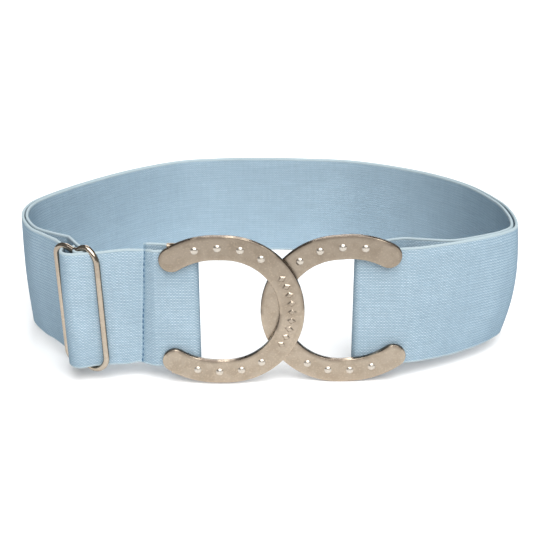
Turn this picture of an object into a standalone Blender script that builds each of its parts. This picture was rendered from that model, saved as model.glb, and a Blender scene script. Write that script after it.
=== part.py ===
"""Elastic belt with a double horseshoe buckle, fastened and standing on its lower edge.

One long elastic strip makes the whole belt. Its short end is folded round the left horseshoe's
bar and sewn. From there it passes through the wire slide, goes round the back, turns round the
right horseshoe's bar and comes back as an inner layer to the slide's middle bar.
Metres, +Z up, the buckle in front at -Y, the origin on the floor under the middle of the belt.
"""

import math
from collections import namedtuple

import bmesh
import bpy
from mathutils import Vector

# Overall size of the closed belt
HALF_WIDTH = 0.128
HALF_DEPTH = 0.091

# Elastic strip
STRAP_WIDTH = 0.061
STRAP_THICK = 0.0016
FRONT_LIFT = 0.0080
REST_DEPTH = 0.0020
LAYER_GAP = 0.0004
LAYER_BOW = 0.0128

# Steps in which the curved lines are drawn
COLUMN_STEP = 0.0055
FINE_STEP = 0.0032
PIN_STEP = math.radians(26)
CORNER_STEPS = 5
TOE_STEPS = 16
HEEL_STEPS = 7
TIP_STEPS = 8
STUD_COLUMNS = 12
STUD_RINGS = 8

# A pin is turned round by less than this; a larger sweep means that the run passes it straight
MOST_TURN = 1.5 * math.pi

# Faces that meet at a sharper angle than these are bevelled, or shaded with a sharp edge
BEVEL_ANGLE = math.radians(50)
SHARP_ANGLE = math.radians(35)

# Where the strip turns at the two sides its lower edge is tucked in and raised
EDGE_TUCK = 0.0026
EDGE_RAISE = 0.0013
TUCK_REACH = 0.0220

# Ends of the strip: the sewn fold at the left bar and the short flap at the slide's bar
SEAM_FROM_BAR = 0.0256
SEAM_BEND = 0.004
KNEE_FROM_BAR = 0.0174
CUT_TAIL = 0.0028
FLAP_LENGTH = 0.0075
SEAM_PINCH = 0.0006
SEAM_REACH = 0.0040
SLIDE_PINCH = 0.0008
SLIDE_REACH = 0.0160

# Horseshoe plates
ARM_PAST_STRAP = 0.0017
ARM_WIDTH = 0.0120
ARM_STRAIGHT = 0.0040
HEEL_RADIUS = 0.0370
HEEL_TURN = math.radians(33)
PLATE_THICK = 0.0026
PLATE_EDGE = 0.0004
BUCKLE_MIDDLE_X = 0.0082
TOES_OVERLAP = 0.0210
LEFT_RAISE = 0.0008
RIGHT_TILT = math.radians(4.5)
PLATES_APART = 0.0003

# Raised nail studs, four on each arm
STUD_WIDTH = 0.0032
STUD_RISE = 0.0009
STUD_PITCH = 0.0107
STUD_FIRST = 0.0187
STUDS_ON_ARM = 4

# Wire bails behind the plates
BAIL_WIRE = 0.0030
BAIL_ROOM = 0.0002
BAIL_LEG_ROOM = 0.0006
BAIL_CORNER = 0.0026
BAIL_SLANT = 0.0045
BAIL_SINK = 0.0005
LEFT_BAR_BACK = 0.0151
RIGHT_BAR_BACK = 0.0094
STRAP_BEHIND_PLATE = 0.0004

# Where the bails' legs end, as shares of the heels' turn
LEFT_LEG_AT = 0.94
RIGHT_LEG_AT = 0.69

# Hook behind the left toe
HOOK_THICK = 0.0020
HOOK_POST = 0.0040
HOOK_REACH = 0.0085
HOOK_HEIGHT = 0.0100
HOOK_ROOM = 0.0004

# Wire slide
SLIDE_WIRE = 0.0022
SLIDE_SPAN = 0.0234
SLIDE_ROOM = 0.0005
SLIDE_LOOP_ROOM = 0.0006
SLIDE_DROP = 0.0006
SLIDE_CORNER = 0.0036
SLIDE_TURN = math.radians(-28)
SLIDE_KNEE = 0.78

# Values that follow from the sizes above
HALF_THICK = STRAP_THICK / 2
LAYER_STEP = STRAP_THICK + LAYER_GAP
ARC_RADIUS = STRAP_WIDTH / 2 + ARM_PAST_STRAP
ARC_OUTER = ARC_RADIUS + ARM_WIDTH / 2
ARC_INNER = ARC_RADIUS - ARM_WIDTH / 2
LEFT_CENTRE_X = BUCKLE_MIDDLE_X - ARC_OUTER + TOES_OVERLAP / 2
RIGHT_CENTRE_X = BUCKLE_MIDDLE_X + ARC_OUTER - TOES_OVERLAP / 2
LEFT_BAR_X = LEFT_CENTRE_X - LEFT_BAR_BACK
RIGHT_BAR_X = RIGHT_CENTRE_X + RIGHT_BAR_BACK
SEAM_X = LEFT_BAR_X - SEAM_FROM_BAR
LEFT_FACE_Y = -HALF_DEPTH + STUD_RISE
LEFT_BACK_Y = LEFT_FACE_Y + PLATE_THICK
RIGHT_FACE_Y = LEFT_BACK_Y + PLATES_APART
RIGHT_BACK_Y = RIGHT_FACE_Y + PLATE_THICK
BAR_TURN = BAIL_WIRE / 2 + BAIL_ROOM + HALF_THICK
LEFT_BAR_Y = LEFT_BACK_Y + STRAP_BEHIND_PLATE + HALF_THICK + BAR_TURN
RIGHT_BAR_Y = RIGHT_BACK_Y + STRAP_BEHIND_PLATE + HALF_THICK + BAR_TURN
BACK_MID_Y = HALF_DEPTH - HALF_THICK
FRONT_MID_Y = RIGHT_BAR_Y - BAR_TURN
SIDE_MID_X = HALF_WIDTH - HALF_THICK
SLIDE_Y = LEFT_BAR_Y
SLIDE_LOOP = SLIDE_WIRE / 2 + SLIDE_LOOP_ROOM + HALF_THICK
SLIDE_OVER = SLIDE_LOOP + LAYER_STEP

# Places on the belt in plan: side is a share of the half width, deep a share of the way from
# front to back. The slide lies on the front run, in line with the left bar.
BeltPlace = namedtuple("BeltPlace", "side deep")
LEFT_TUCK = BeltPlace(-0.888, 0.160)
RIGHT_TUCK = BeltPlace(0.951, 0.212)
SLIDE_SIDE = -0.684
SLIDE_X = SLIDE_SIDE * SIDE_MID_X

# A bar or bend that the strip is drawn round, in plan; turn is 1 anticlockwise, -1 clockwise
Pin = namedtuple("Pin", "x y radius turn")

# The belt's line from the slide round the back to the right bar, middle of the outer layer,
# with side and deep as above. bow is how far the inner layer stands off, as a share of
# LAYER_BOW.
BeltRow = namedtuple("BeltRow", "side deep bow")
BELT_LINE = (
    BeltRow(-0.792, 0.080, 0.40),
    BeltRow(-0.854, 0.130, 0.16),
    BeltRow(-0.921, 0.188, 0.04),
    BeltRow(-0.983, 0.292, 0.00),
    BeltRow(-1.000, 0.402, 0.00),
    BeltRow(-0.962, 0.500, 0.00),
    BeltRow(-0.830, 0.664, 0.00),
    BeltRow(-0.644, 0.832, 0.00),
    BeltRow(-0.432, 0.955, 0.00),
    BeltRow(-0.230, 0.993, 0.00),
    BeltRow(-0.045, 1.000, 0.00),
    BeltRow(0.140, 0.994, 0.00),
    BeltRow(0.425, 0.957, 0.00),
    BeltRow(0.711, 0.820, 0.00),
    BeltRow(0.894, 0.652, 0.00),
    BeltRow(0.983, 0.468, 0.02),
    BeltRow(1.000, 0.340, 0.04),
    BeltRow(0.975, 0.208, 0.02),
    BeltRow(0.919, 0.152, 0.00),
    BeltRow(0.852, 0.114, 0.02),
    BeltRow(0.750, 0.070, 0.06),
    BeltRow(0.697, 0.050, 0.22),
    BeltRow(0.644, 0.033, 0.57),
    BeltRow(0.567, 0.012, 1.00),
    BeltRow(0.497, 0.003, 0.95),
)


def clear_scene():
    """Removes every object and collection that the file holds."""
    for thing in list(bpy.data.objects):
        bpy.data.objects.remove(thing, do_unlink=True)
    for group in list(bpy.data.collections):
        bpy.data.collections.remove(group)


def new_collection(name):
    """A collection in the scene."""
    group = bpy.data.collections.new(name)
    bpy.context.scene.collection.children.link(group)
    return group


def material(name, color, roughness, metallic):
    """A plain Principled material."""
    made = bpy.data.materials.new(name)
    made.use_nodes = True
    shader = made.node_tree.nodes["Principled BSDF"]
    shader.inputs["Base Color"].default_value = (*color, 1.0)
    shader.inputs["Roughness"].default_value = roughness
    shader.inputs["Metallic"].default_value = metallic
    return made


def edge_lift(y):
    """Height of the strip's lower edge: it lies on the floor at the back and rises to the front."""
    rest_y = BACK_MID_Y - REST_DEPTH
    return FRONT_LIFT * max(rest_y - y, 0.0) / (rest_y - FRONT_MID_Y)


def strap_middle(y):
    """Height of the strip's middle line."""
    return edge_lift(y) + STRAP_WIDTH / 2


def edge_pinch(x, y):
    """How far both edges are drawn in beside the seam and inside the slide."""
    at_seam = math.dist((x, y), (SEAM_X, LEFT_BAR_Y)) / SEAM_REACH
    at_slide = math.dist((x, y), (SLIDE_X, SLIDE_Y)) / SLIDE_REACH
    return SEAM_PINCH * math.exp(-at_seam ** 2) + SLIDE_PINCH * math.exp(-at_slide ** 4)


def plan_point(place):
    """Plan point of a belt place or row."""
    return place.side * SIDE_MID_X, FRONT_MID_Y + place.deep * (BACK_MID_Y - FRONT_MID_Y)


def tuck_share(x, y):
    """How much of the side bends' tuck reaches a place in plan."""
    nearest = min(math.dist((x, y), plan_point(place)) for place in (LEFT_TUCK, RIGHT_TUCK))
    return math.exp(-(nearest / TUCK_REACH) ** 2)


# Plan lines

def tangent_heading(start, end):
    """Heading of the straight run that leaves one pin and meets the next."""
    along = math.atan2(end.y - start.y, end.x - start.x)
    reach = math.dist((start.x, start.y), (end.x, end.y))
    offset = end.turn * end.radius - start.turn * start.radius
    return along - math.asin(offset / reach)


def beside(pin, heading):
    """The point on a pin's circle where the strip runs with this heading."""
    return (pin.x + pin.turn * pin.radius * math.sin(heading),
            pin.y - pin.turn * pin.radius * math.cos(heading))


def round_pins(pins):
    """Points along a strip drawn taut round a row of pins."""
    headings = [tangent_heading(a, b) for a, b in zip(pins, pins[1:])]
    points = [beside(pins[0], headings[0])]
    for pin, before, after in zip(pins[1:], headings, headings[1:]):
        sweep = ((after - before) * pin.turn) % math.tau
        if sweep > MOST_TURN:
            sweep = 0.0
        steps = max(1, math.ceil(sweep / PIN_STEP))
        points += [beside(pin, before + pin.turn * sweep * i / steps) for i in range(steps + 1)]
    points.append(beside(pins[-1], headings[-1]))
    return points


def point_pin(point):
    """A pin without size, for the end of a run."""
    return Pin(point[0], point[1], 0.0, 1)


def smooth_value(a, b, c, d, t):
    """Catmull-Rom value between b and c."""
    return 0.5 * (2 * b + (c - a) * t + (2 * a - 5 * b + 4 * c - d) * t ** 2
                  + (3 * b - a - 3 * c + d) * t ** 3)


def belt_line():
    """Outer and inner layer round the belt, as two lists of plan points from left to right."""
    rows = [(*plan_point(row), row.bow * LAYER_BOW) for row in BELT_LINE]
    rows = [rows[0]] + rows + [rows[-1]]
    samples = []
    for a, b, c, d in zip(rows, rows[1:], rows[2:], rows[3:]):
        steps = max(1, round(math.dist(b[:2], c[:2]) / COLUMN_STEP))
        for i in range(steps):
            samples.append([smooth_value(*values, i / steps) for values in zip(a, b, c, d)])
    samples.append(list(rows[-1]))
    outer = [(x, y) for x, y, bow in samples]
    inner = []
    for i, (x, y, bow) in enumerate(samples):
        before = outer[max(i - 1, 0)]
        after = outer[min(i + 1, len(outer) - 1)]
        run = Vector((after[0] - before[0], after[1] - before[1])).normalized()
        stand_off = LAYER_STEP + max(bow, 0.0)
        inner.append((x + run.y * stand_off, y - run.x * stand_off))
    return outer, inner


def slide_point(along, out):
    """Plan point in the slide's own directions: along its width and out to the front."""
    return (SLIDE_X + along * math.cos(SLIDE_TURN) + out * math.sin(SLIDE_TURN),
            SLIDE_Y + along * math.sin(SLIDE_TURN) - out * math.cos(SLIDE_TURN))


def strap_path():
    """The whole strip in plan, from its sewn end at the left bar to its flap at the slide."""
    outer, inner = belt_line()
    seam_y = LEFT_BAR_Y + HALF_THICK
    left_bar = Pin(LEFT_BAR_X, LEFT_BAR_Y, BAR_TURN, -1)
    fold_knee = Pin(LEFT_BAR_X - KNEE_FROM_BAR, LEFT_BAR_Y, BAR_TURN, -1)
    seam = Pin(SEAM_X, seam_y - SEAM_BEND, SEAM_BEND, 1)
    over_slide = Pin(SLIDE_X, SLIDE_Y, SLIDE_OVER, -1)
    knee_at = slide_point(-SLIDE_KNEE * SLIDE_SPAN / 2, 0)
    wire_knee = Pin(*knee_at, SLIDE_WIRE / 2 + SLIDE_ROOM + HALF_THICK, 1)
    cut_end = point_pin((SEAM_X - CUT_TAIL, seam_y + LAYER_STEP))
    front = round_pins([cut_end, left_bar, fold_knee, seam, over_slide, wire_knee,
                        point_pin(outer[0])])
    right_bar = Pin(RIGHT_BAR_X, RIGHT_BAR_Y, BAR_TURN, -1)
    turn_back = round_pins([point_pin(outer[-1]), right_bar, point_pin(inner[-1])])
    loop = Pin(SLIDE_X, SLIDE_Y, SLIDE_LOOP, -1)
    leaving = tangent_heading(over_slide, wire_knee)
    flap_x, flap_y = beside(loop, leaving)
    flap_end = point_pin((flap_x + FLAP_LENGTH * math.cos(leaving),
                          flap_y + FLAP_LENGTH * math.sin(leaving)))
    end_loop = round_pins([point_pin(inner[0]), loop, flap_end])
    return (refine(front[:-1], FINE_STEP) + outer + turn_back[1:-1] + inner[::-1]
            + refine(end_loop[1:], FINE_STEP))


def refine(points, longest):
    """The same line with its long runs divided."""
    fine = [points[0]]
    for start, end in zip(points, points[1:]):
        steps = max(1, math.ceil(math.dist(start, end) / longest))
        for i in range(1, steps + 1):
            fine.append(tuple(a + (b - a) * i / steps for a, b in zip(start, end)))
    return fine


# Curves and meshes

def curve_object(name, points, dimensions, closed):
    """A poly spline through 2D or 3D points."""
    curve = bpy.data.curves.new(name, "CURVE")
    curve.dimensions = dimensions
    spline = curve.splines.new("POLY")
    spline.points.add(len(points) - 1)
    for target, point in zip(spline.points, points):
        target.co = (*point, 0.0, 1.0) if len(point) == 2 else (*point, 1.0)
    spline.use_cyclic_u = closed
    made = bpy.data.objects.new(name, curve)
    bpy.context.scene.collection.objects.link(made)
    return made


def to_mesh(source, collection):
    """The curve as a welded mesh object in a collection; the curve is removed."""
    bpy.context.view_layer.update()
    evaluated = source.evaluated_get(bpy.context.evaluated_depsgraph_get())
    mesh = bpy.data.meshes.new_from_object(evaluated)
    work = bmesh.new()
    work.from_mesh(mesh)
    bmesh.ops.remove_doubles(work, verts=work.verts, dist=0.00001)
    work.to_mesh(mesh)
    work.free()
    name = source.name
    place = source.matrix_world.copy()
    bpy.data.objects.remove(source, do_unlink=True)
    made = bpy.data.objects.new(name, mesh)
    made.matrix_world = place
    collection.objects.link(made)
    return made


def plate_from_outline(name, outline, thickness, collection):
    """A flat outline filled on both sides, as thick as asked."""
    made = curve_object(name, outline, "2D", True)
    made.data.fill_mode = "BOTH"
    made.data.extrude = thickness / 2
    return to_mesh(made, collection)


def wire(name, points, thickness, closed, collection):
    """A round wire along points."""
    made = curve_object(name, points, "3D", closed)
    made.data.bevel_depth = thickness / 2
    made.data.bevel_resolution = 3
    made.data.use_fill_caps = not closed
    return to_mesh(made, collection)


def set_as_tool(thing):
    """Marks a mesh that only cuts or joins."""
    thing.hide_render = True
    thing.display_type = "WIRE"


def join_solid(target, tool):
    """Adds a tool's volume to a solid."""
    step = target.modifiers.new(tool.name, "BOOLEAN")
    step.operation = "UNION"
    step.solver = "EXACT"
    step.object = tool
    set_as_tool(tool)


def smooth_faces(thing):
    """Smooth shading with its real edges kept sharp."""
    thing.data.shade_smooth()
    thing.data.set_sharp_from_angle(angle=SHARP_ANGLE)


def rounded_corners(points, radius, closed):
    """A line of 3D points with each corner turned into an arc of the radius."""
    count = len(points)
    rounded = []
    for i, point in enumerate(points):
        if not closed and i in (0, count - 1):
            rounded.append(tuple(point))
            continue
        corner = Vector(point)
        to_before = (Vector(points[i - 1]) - corner).normalized()
        to_after = (Vector(points[(i + 1) % count]) - corner).normalized()
        half = to_before.angle(to_after) / 2
        middle = corner + (to_before + to_after).normalized() * radius / math.sin(half)
        start = (corner + to_before * radius / math.tan(half) - middle).normalized()
        end = (corner + to_after * radius / math.tan(half) - middle).normalized()
        for k in range(CORNER_STEPS + 1):
            rounded.append(tuple(middle + start.slerp(end, k / CORNER_STEPS) * radius))
    return rounded


# Pieces

def build_strap(parts, look):
    """The elastic strip: a wall along its plan line, given its thickness by Solidify."""
    line = curve_object("elastic_strap", strap_path(), "2D", False)
    line.data.fill_mode = "NONE"
    line.data.extrude = STRAP_WIDTH / 2
    strap = to_mesh(line, parts)
    for vertex in strap.data.vertices:
        x, y, height = vertex.co
        drawn_in = math.copysign(edge_pinch(x, y), height)
        vertex.co.z = strap_middle(y) + height - drawn_in
        if height < 0:
            share = tuck_share(x, y)
            inwards = -Vector((x, y)).normalized() * EDGE_TUCK * share
            vertex.co += Vector((inwards.x, inwards.y, EDGE_RAISE * share))
    wall = strap.modifiers.new("wall", "SOLIDIFY")
    wall.thickness = STRAP_THICK
    wall.offset = 0.0
    wall.use_even_offset = True
    smooth_faces(strap)
    strap.data.materials.append(look)
    return strap


def arm_point(distance):
    """Middle of an arm and its heading, at a distance from the top towards the toe.

    The toe is a half circle round the plate's own origin, towards +X. Behind the top comes a
    short straight stretch, and then the heel, which bends in.
    """
    if distance >= 0:
        angle = distance / ARC_RADIUS
        return Vector((math.sin(angle), math.cos(angle))) * ARC_RADIUS, -angle
    if distance >= -ARM_STRAIGHT:
        return Vector((distance, ARC_RADIUS)), 0.0
    angle = (-distance - ARM_STRAIGHT) / HEEL_RADIUS
    bend = Vector((-math.sin(angle), math.cos(angle) - 1)) * HEEL_RADIUS
    return Vector((-ARM_STRAIGHT, ARC_RADIUS)) + bend, angle


def horseshoe_outline():
    """Outline of a horseshoe lying in plan, its toe towards +X."""
    toe_way = ARC_RADIUS * math.pi / 2
    arm_end = ARM_STRAIGHT + HEEL_RADIUS * HEEL_TURN
    heel_step = HEEL_RADIUS * HEEL_TURN / HEEL_STEPS
    stops = [i * heel_step - arm_end for i in range(HEEL_STEPS + 1)]
    stops += [toe_way * i / TOE_STEPS for i in range(TOE_STEPS + 1)]
    outside, inside = [], []
    for stop in stops:
        middle, heading = arm_point(stop)
        out = Vector((-math.sin(heading), math.cos(heading))) * ARM_WIDTH / 2
        outside.append(middle + out)
        inside.append(middle - out)
    tip, heading = arm_point(-arm_end)
    end = [tip + Vector((-math.sin(heading + a), math.cos(heading + a))) * ARM_WIDTH / 2
           for a in (math.pi * k / TIP_STEPS for k in range(TIP_STEPS - 1, 0, -1))]
    upper = inside[::-1] + end + outside
    lower = [Vector((point.x, -point.y)) for point in reversed(upper[1:-1])]
    return [tuple(point) for point in upper + lower]


def stud_places():
    """Middles of the raised studs on a horseshoe lying in plan."""
    arm = [arm_point(STUD_FIRST - STUD_PITCH * i)[0] for i in range(STUDS_ON_ARM)]
    return [(point.x, side * point.y) for point in arm for side in (1, -1)]


def build_studs(name, tools):
    """The studs of one plate as low domes in one mesh, flat side at its face."""
    work = bmesh.new()
    for x, y in stud_places():
        ball = bmesh.ops.create_uvsphere(work, u_segments=STUD_COLUMNS, v_segments=STUD_RINGS,
                                         radius=STUD_WIDTH / 2)
        bmesh.ops.scale(work, vec=(1, 1, STUD_RISE / (STUD_WIDTH / 2)), verts=ball["verts"])
        bmesh.ops.translate(work, vec=(x, y, PLATE_THICK / 2), verts=ball["verts"])
    mesh = bpy.data.meshes.new(name)
    work.to_mesh(mesh)
    work.free()
    studs = bpy.data.objects.new(name, mesh)
    tools.objects.link(studs)
    return studs


def stand_up(thing, centre, turn):
    """Stands a flat piece up to face the front, turned in its own plane."""
    thing.rotation_euler = (math.radians(90), turn, 0.0)
    thing.location = centre


def heel_way(share):
    """How far behind a plate's middle its outer edge is, at a share of the heel's turn."""
    return ARM_STRAIGHT + (HEEL_RADIUS + ARM_WIDTH / 2) * math.sin(share * HEEL_TURN)


def build_bail(name, bar_x, bar_y, leg_x, plate_back_y, tools):
    """The wire that holds the strap: a bar with two legs that lie on the backs of the heels."""
    middle = strap_middle(bar_y)
    reach = STRAP_WIDTH / 2 + BAIL_LEG_ROOM + BAIL_WIRE / 2
    down_x = bar_x + math.copysign(BAIL_SLANT, leg_x - bar_x)
    leg_y = plate_back_y + BAIL_WIRE / 2 - BAIL_SINK
    leg = [(leg_x, leg_y), (down_x, leg_y), (bar_x, bar_y)]
    points = [(x, y, middle - reach) for x, y in leg]
    points += [(x, y, middle + reach) for x, y in reversed(leg)]
    return wire(name, rounded_corners(points, BAIL_CORNER, False), BAIL_WIRE, False, tools)


def build_hook(tools):
    """The plain hook behind the left toe, which catches the right toe."""
    toe_inner_x = RIGHT_CENTRE_X - math.sqrt(ARC_INNER ** 2 - (HOOK_HEIGHT / 2) ** 2)
    post_x = toe_inner_x + HOOK_ROOM
    tongue_y = RIGHT_BACK_Y + HOOK_ROOM
    root_y = LEFT_BACK_Y - PLATE_THICK / 2
    outline = [(post_x, root_y), (post_x + HOOK_POST, root_y),
               (post_x + HOOK_POST, tongue_y + HOOK_THICK),
               (post_x - HOOK_REACH, tongue_y + HOOK_THICK),
               (post_x - HOOK_REACH, tongue_y), (post_x, tongue_y)]
    hook = plate_from_outline("hook", outline, HOOK_HEIGHT, tools)
    hook.location = (0.0, 0.0, ARC_OUTER)
    return hook


def build_horseshoe(name, centre, turn, extras, parts, tools, look):
    """A horseshoe plate with its studs, and the pieces soldered to its back."""
    plate = plate_from_outline(name, horseshoe_outline(), PLATE_THICK, parts)
    studs = build_studs(name + "_studs", tools)
    stand_up(plate, centre, turn)
    stand_up(studs, centre, turn)
    edge = plate.modifiers.new("edge", "BEVEL")
    edge.width = PLATE_EDGE
    edge.segments = 2
    edge.limit_method = "ANGLE"
    edge.angle_limit = BEVEL_ANGLE
    for tool in [studs] + extras:
        join_solid(plate, tool)
    smooth_faces(plate)
    plate.data.materials.append(look)
    return plate


def slide_heights():
    """Heights of the slide's lower and upper wire, just clear of the strip's edges."""
    reach = STRAP_WIDTH / 2 - SLIDE_PINCH + SLIDE_ROOM + SLIDE_WIRE / 2
    return strap_middle(SLIDE_Y) - reach - SLIDE_DROP, strap_middle(SLIDE_Y) + reach


def build_slide(parts, tools, look):
    """The wire slide: a ring with rounded corners and a middle bar."""
    bottom, top = slide_heights()
    half = SLIDE_SPAN / 2
    corners = [(*slide_point(along, 0), height) for along, height in
               ((-half, bottom), (-half, top), (half, top), (half, bottom))]
    ring = wire("slide_buckle", rounded_corners(corners, SLIDE_CORNER, True),
                SLIDE_WIRE, True, parts)
    bar_line = [(*slide_point(0, 0), bottom), (*slide_point(0, 0), top)]
    join_solid(ring, wire("slide_bar", bar_line, SLIDE_WIRE, False, tools))
    smooth_faces(ring)
    ring.data.materials.append(look)
    return ring


def main():
    """Builds the belt."""
    clear_scene()
    parts = new_collection("elastic_belt")
    tools = new_collection("cutters")
    elastic = material("elastic_blue", (0.44, 0.60, 0.71), 0.85, 0.0)
    plate_metal = material("satin_nickel", (0.62, 0.55, 0.48), 0.32, 1.0)
    wire_metal = material("bright_wire", (0.70, 0.58, 0.48), 0.25, 1.0)
    build_strap(parts, elastic)
    build_slide(parts, tools, wire_metal)
    left_leg_x = LEFT_CENTRE_X - heel_way(LEFT_LEG_AT)
    right_leg_x = RIGHT_CENTRE_X + heel_way(RIGHT_LEG_AT)
    left_extras = [
        build_bail("left_bail", LEFT_BAR_X, LEFT_BAR_Y, left_leg_x, LEFT_BACK_Y, tools),
        build_hook(tools)]
    right_extras = [
        build_bail("right_bail", RIGHT_BAR_X, RIGHT_BAR_Y, right_leg_x, RIGHT_BACK_Y, tools)]
    left_centre = (LEFT_CENTRE_X, LEFT_FACE_Y + PLATE_THICK / 2, ARC_OUTER + LEFT_RAISE)
    right_centre = (RIGHT_CENTRE_X, RIGHT_FACE_Y + PLATE_THICK / 2, ARC_OUTER)
    build_horseshoe("left_horseshoe", left_centre, 0.0, left_extras, parts, tools, plate_metal)
    build_horseshoe("right_horseshoe", right_centre, math.pi - RIGHT_TILT, right_extras,
                    parts, tools, plate_metal)
    bpy.context.view_layer.update()


main()
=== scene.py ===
"""Looks of the elastic belt with a double horseshoe buckle, fastened and standing on its edge.

One long elastic strip makes the whole belt. Its sewn end is folded round the bar of the left
horseshoe. From there the strip goes through the wire slide and round the back, turns round the
bar of the right horseshoe and comes back inside, to the slide's middle bar. Metres, +Z up, the
buckle in front at -Y.
"""

import logging
import math
from collections.abc import Callable, Iterator, Sequence
from contextlib import contextmanager
from dataclasses import dataclass, field
from enum import Enum

import bmesh
import bpy
from mathutils import Matrix, Vector


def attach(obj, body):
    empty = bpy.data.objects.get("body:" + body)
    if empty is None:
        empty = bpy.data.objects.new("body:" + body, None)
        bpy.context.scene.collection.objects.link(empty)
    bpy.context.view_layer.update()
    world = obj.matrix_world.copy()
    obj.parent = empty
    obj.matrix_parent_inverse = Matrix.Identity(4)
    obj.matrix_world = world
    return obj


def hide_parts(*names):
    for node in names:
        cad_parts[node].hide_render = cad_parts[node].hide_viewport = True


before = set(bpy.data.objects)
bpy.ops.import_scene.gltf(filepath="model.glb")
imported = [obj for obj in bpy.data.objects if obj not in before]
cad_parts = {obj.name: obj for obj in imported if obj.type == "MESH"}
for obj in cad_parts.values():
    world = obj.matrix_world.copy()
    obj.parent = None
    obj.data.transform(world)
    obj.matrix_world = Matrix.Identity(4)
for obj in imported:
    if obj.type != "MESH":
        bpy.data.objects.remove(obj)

log = logging.getLogger("elastic_belt")

BODY = "root"
PHOTO_PIXELS = 540
SHARP_ANGLE = math.radians(35)
NEAR = 0.00001
MERGE_WITHIN = 0.000008
FACING = 0.9

Piece = bpy.types.Object
Socket = bpy.types.NodeSocket
Triple = tuple[float, float, float]


class Slot(Enum):
    """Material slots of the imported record."""

    ELASTIC = "elastic"
    HORSESHOE = "horseshoe_metal"
    SLIDE = "slide_metal"


class Side(Enum):
    """The two horseshoes, by the way their heels point."""

    LEFT = -1
    RIGHT = 1


# Bench: modelling by hand with Blender's own operators


def deselect_all() -> None:
    """Goes to object mode and leaves nothing selected."""
    if bpy.context.object is not None and bpy.context.object.mode != "OBJECT":
        bpy.ops.object.mode_set(mode="OBJECT")
    bpy.ops.object.select_all(action="DESELECT")


def take(thing: Piece) -> None:
    """Makes one object the only selected and active one.

    Args:
        thing: The object to work on.
    """
    deselect_all()
    thing.select_set(True)
    bpy.context.view_layer.objects.active = thing


def named(name: str) -> Piece:
    """Names the primitive that was just added.

    Args:
        name: The piece's name.

    Returns:
        The new object.
    """
    made = bpy.context.object
    made.name = name
    made.data.name = name
    return made


def linked(name: str, data: bpy.types.ID) -> Piece:
    """Puts new data in the scene as an object.

    Args:
        name: The object's name.
        data: Its mesh, light or camera.

    Returns:
        The new object.
    """
    made = bpy.data.objects.new(name, data)
    bpy.context.scene.collection.objects.link(made)
    return made


def settle(thing: Piece) -> None:
    """Puts an object's place, turn and scale into its mesh.

    Args:
        thing: The object, which then sits at the origin.
    """
    take(thing)
    bpy.ops.object.transform_apply(location=True, rotation=True, scale=True)


@contextmanager
def editing(thing: Piece, mode: str = "VERT") -> Iterator[None]:
    """Edit mode on one object.

    Args:
        thing: The object to edit.
        mode: What is selected: VERT, EDGE or FACE.
    """
    take(thing)
    bpy.ops.object.mode_set(mode="EDIT")
    bpy.ops.mesh.select_mode(type=mode)
    yield
    bpy.ops.object.mode_set(mode="OBJECT")


def pick(thing: Piece, test: Callable[[Vector], bool]) -> None:
    """Selects the vertices in edit mode whose place passes a test, and what lies between them.

    Args:
        thing: The object in edit mode, in vertex select mode.
        test: Given a vertex's place, says whether it is taken.
    """
    mesh = bmesh.from_edit_mesh(thing.data)
    for vertex in mesh.verts:
        vertex.select = test(vertex.co)
    mesh.select_mode = {"VERT"}
    mesh.select_flush_mode()
    bmesh.update_edit_mesh(thing.data)


def pick_faces(thing: Piece, test: Callable[[Vector, Vector], bool]) -> None:
    """Selects faces in edit mode by their middle and normal.

    Args:
        thing: The object in edit mode, in face select mode.
        test: Given a face's middle and normal, says whether it is taken.
    """
    mesh = bmesh.from_edit_mesh(thing.data)
    mesh.normal_update()
    for face in mesh.faces:
        face.select_set(test(face.calc_center_median(), face.normal))
    bmesh.update_edit_mesh(thing.data)


def select_whole() -> None:
    """Selects the whole mesh in edit mode."""
    bpy.ops.mesh.select_all(action="SELECT")


def extrude(way: Sequence[float]) -> None:
    """Extrudes what is selected in edit mode.

    Args:
        way: How far it goes.
    """
    bpy.ops.mesh.extrude_region_move(TRANSFORM_OT_translate={"value": way})


def face_outwards() -> None:
    """Merges doubles and turns all faces of the mesh in edit mode outwards."""
    select_whole()
    bpy.ops.mesh.remove_doubles(threshold=MERGE_WITHIN)
    select_whole()
    bpy.ops.mesh.normals_make_consistent(inside=False)


def turn_outwards(thing: Piece) -> None:
    """Turns a closed mesh right side out where its volume comes out negative.

    Args:
        thing: The object, in object mode.
    """
    mesh = bmesh.new()
    mesh.from_mesh(thing.data)
    if mesh.calc_volume(signed=True) < 0:
        bmesh.ops.reverse_faces(mesh, faces=mesh.faces)
        mesh.to_mesh(thing.data)
    mesh.free()


def smooth(thing: Piece, angle: float = SHARP_ANGLE) -> None:
    """Shades a piece smooth up to an angle.

    Args:
        thing: The finished mesh object.
        angle: Faces that meet at more than this keep a sharp edge.
    """
    take(thing)
    bpy.ops.object.shade_smooth_by_angle(angle=angle)


def joined(pieces: Sequence[Piece]) -> Piece:
    """Joins meshes into the first of them.

    Args:
        pieces: The objects; the first keeps its name.

    Returns:
        The joined object.
    """
    take(pieces[0])
    for piece in pieces:
        piece.select_set(True)
    bpy.ops.object.join()
    return pieces[0]


def copied(thing: Piece, place: Matrix) -> Piece:
    """A copy of a piece with its own mesh, moved there.

    Args:
        thing: The model piece, at the origin.
        place: Where the copy goes.

    Returns:
        The copy.
    """
    twin = thing.copy()
    twin.data = thing.data.copy()
    bpy.context.scene.collection.objects.link(twin)
    twin.data.transform(place)
    return twin


def set_value(thing: Piece, name: str, value: Callable[[Vector], float]) -> None:
    """Writes a value at each vertex, for the materials to read.

    Args:
        thing: The mesh object.
        name: The attribute's name.
        value: Given a vertex's place, its value from 0 to 1.
    """
    layer = thing.data.attributes.new(name, "FLOAT", "POINT")
    for spot, vertex in zip(layer.data, thing.data.vertices):
        spot.value = value(vertex.co)


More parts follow.
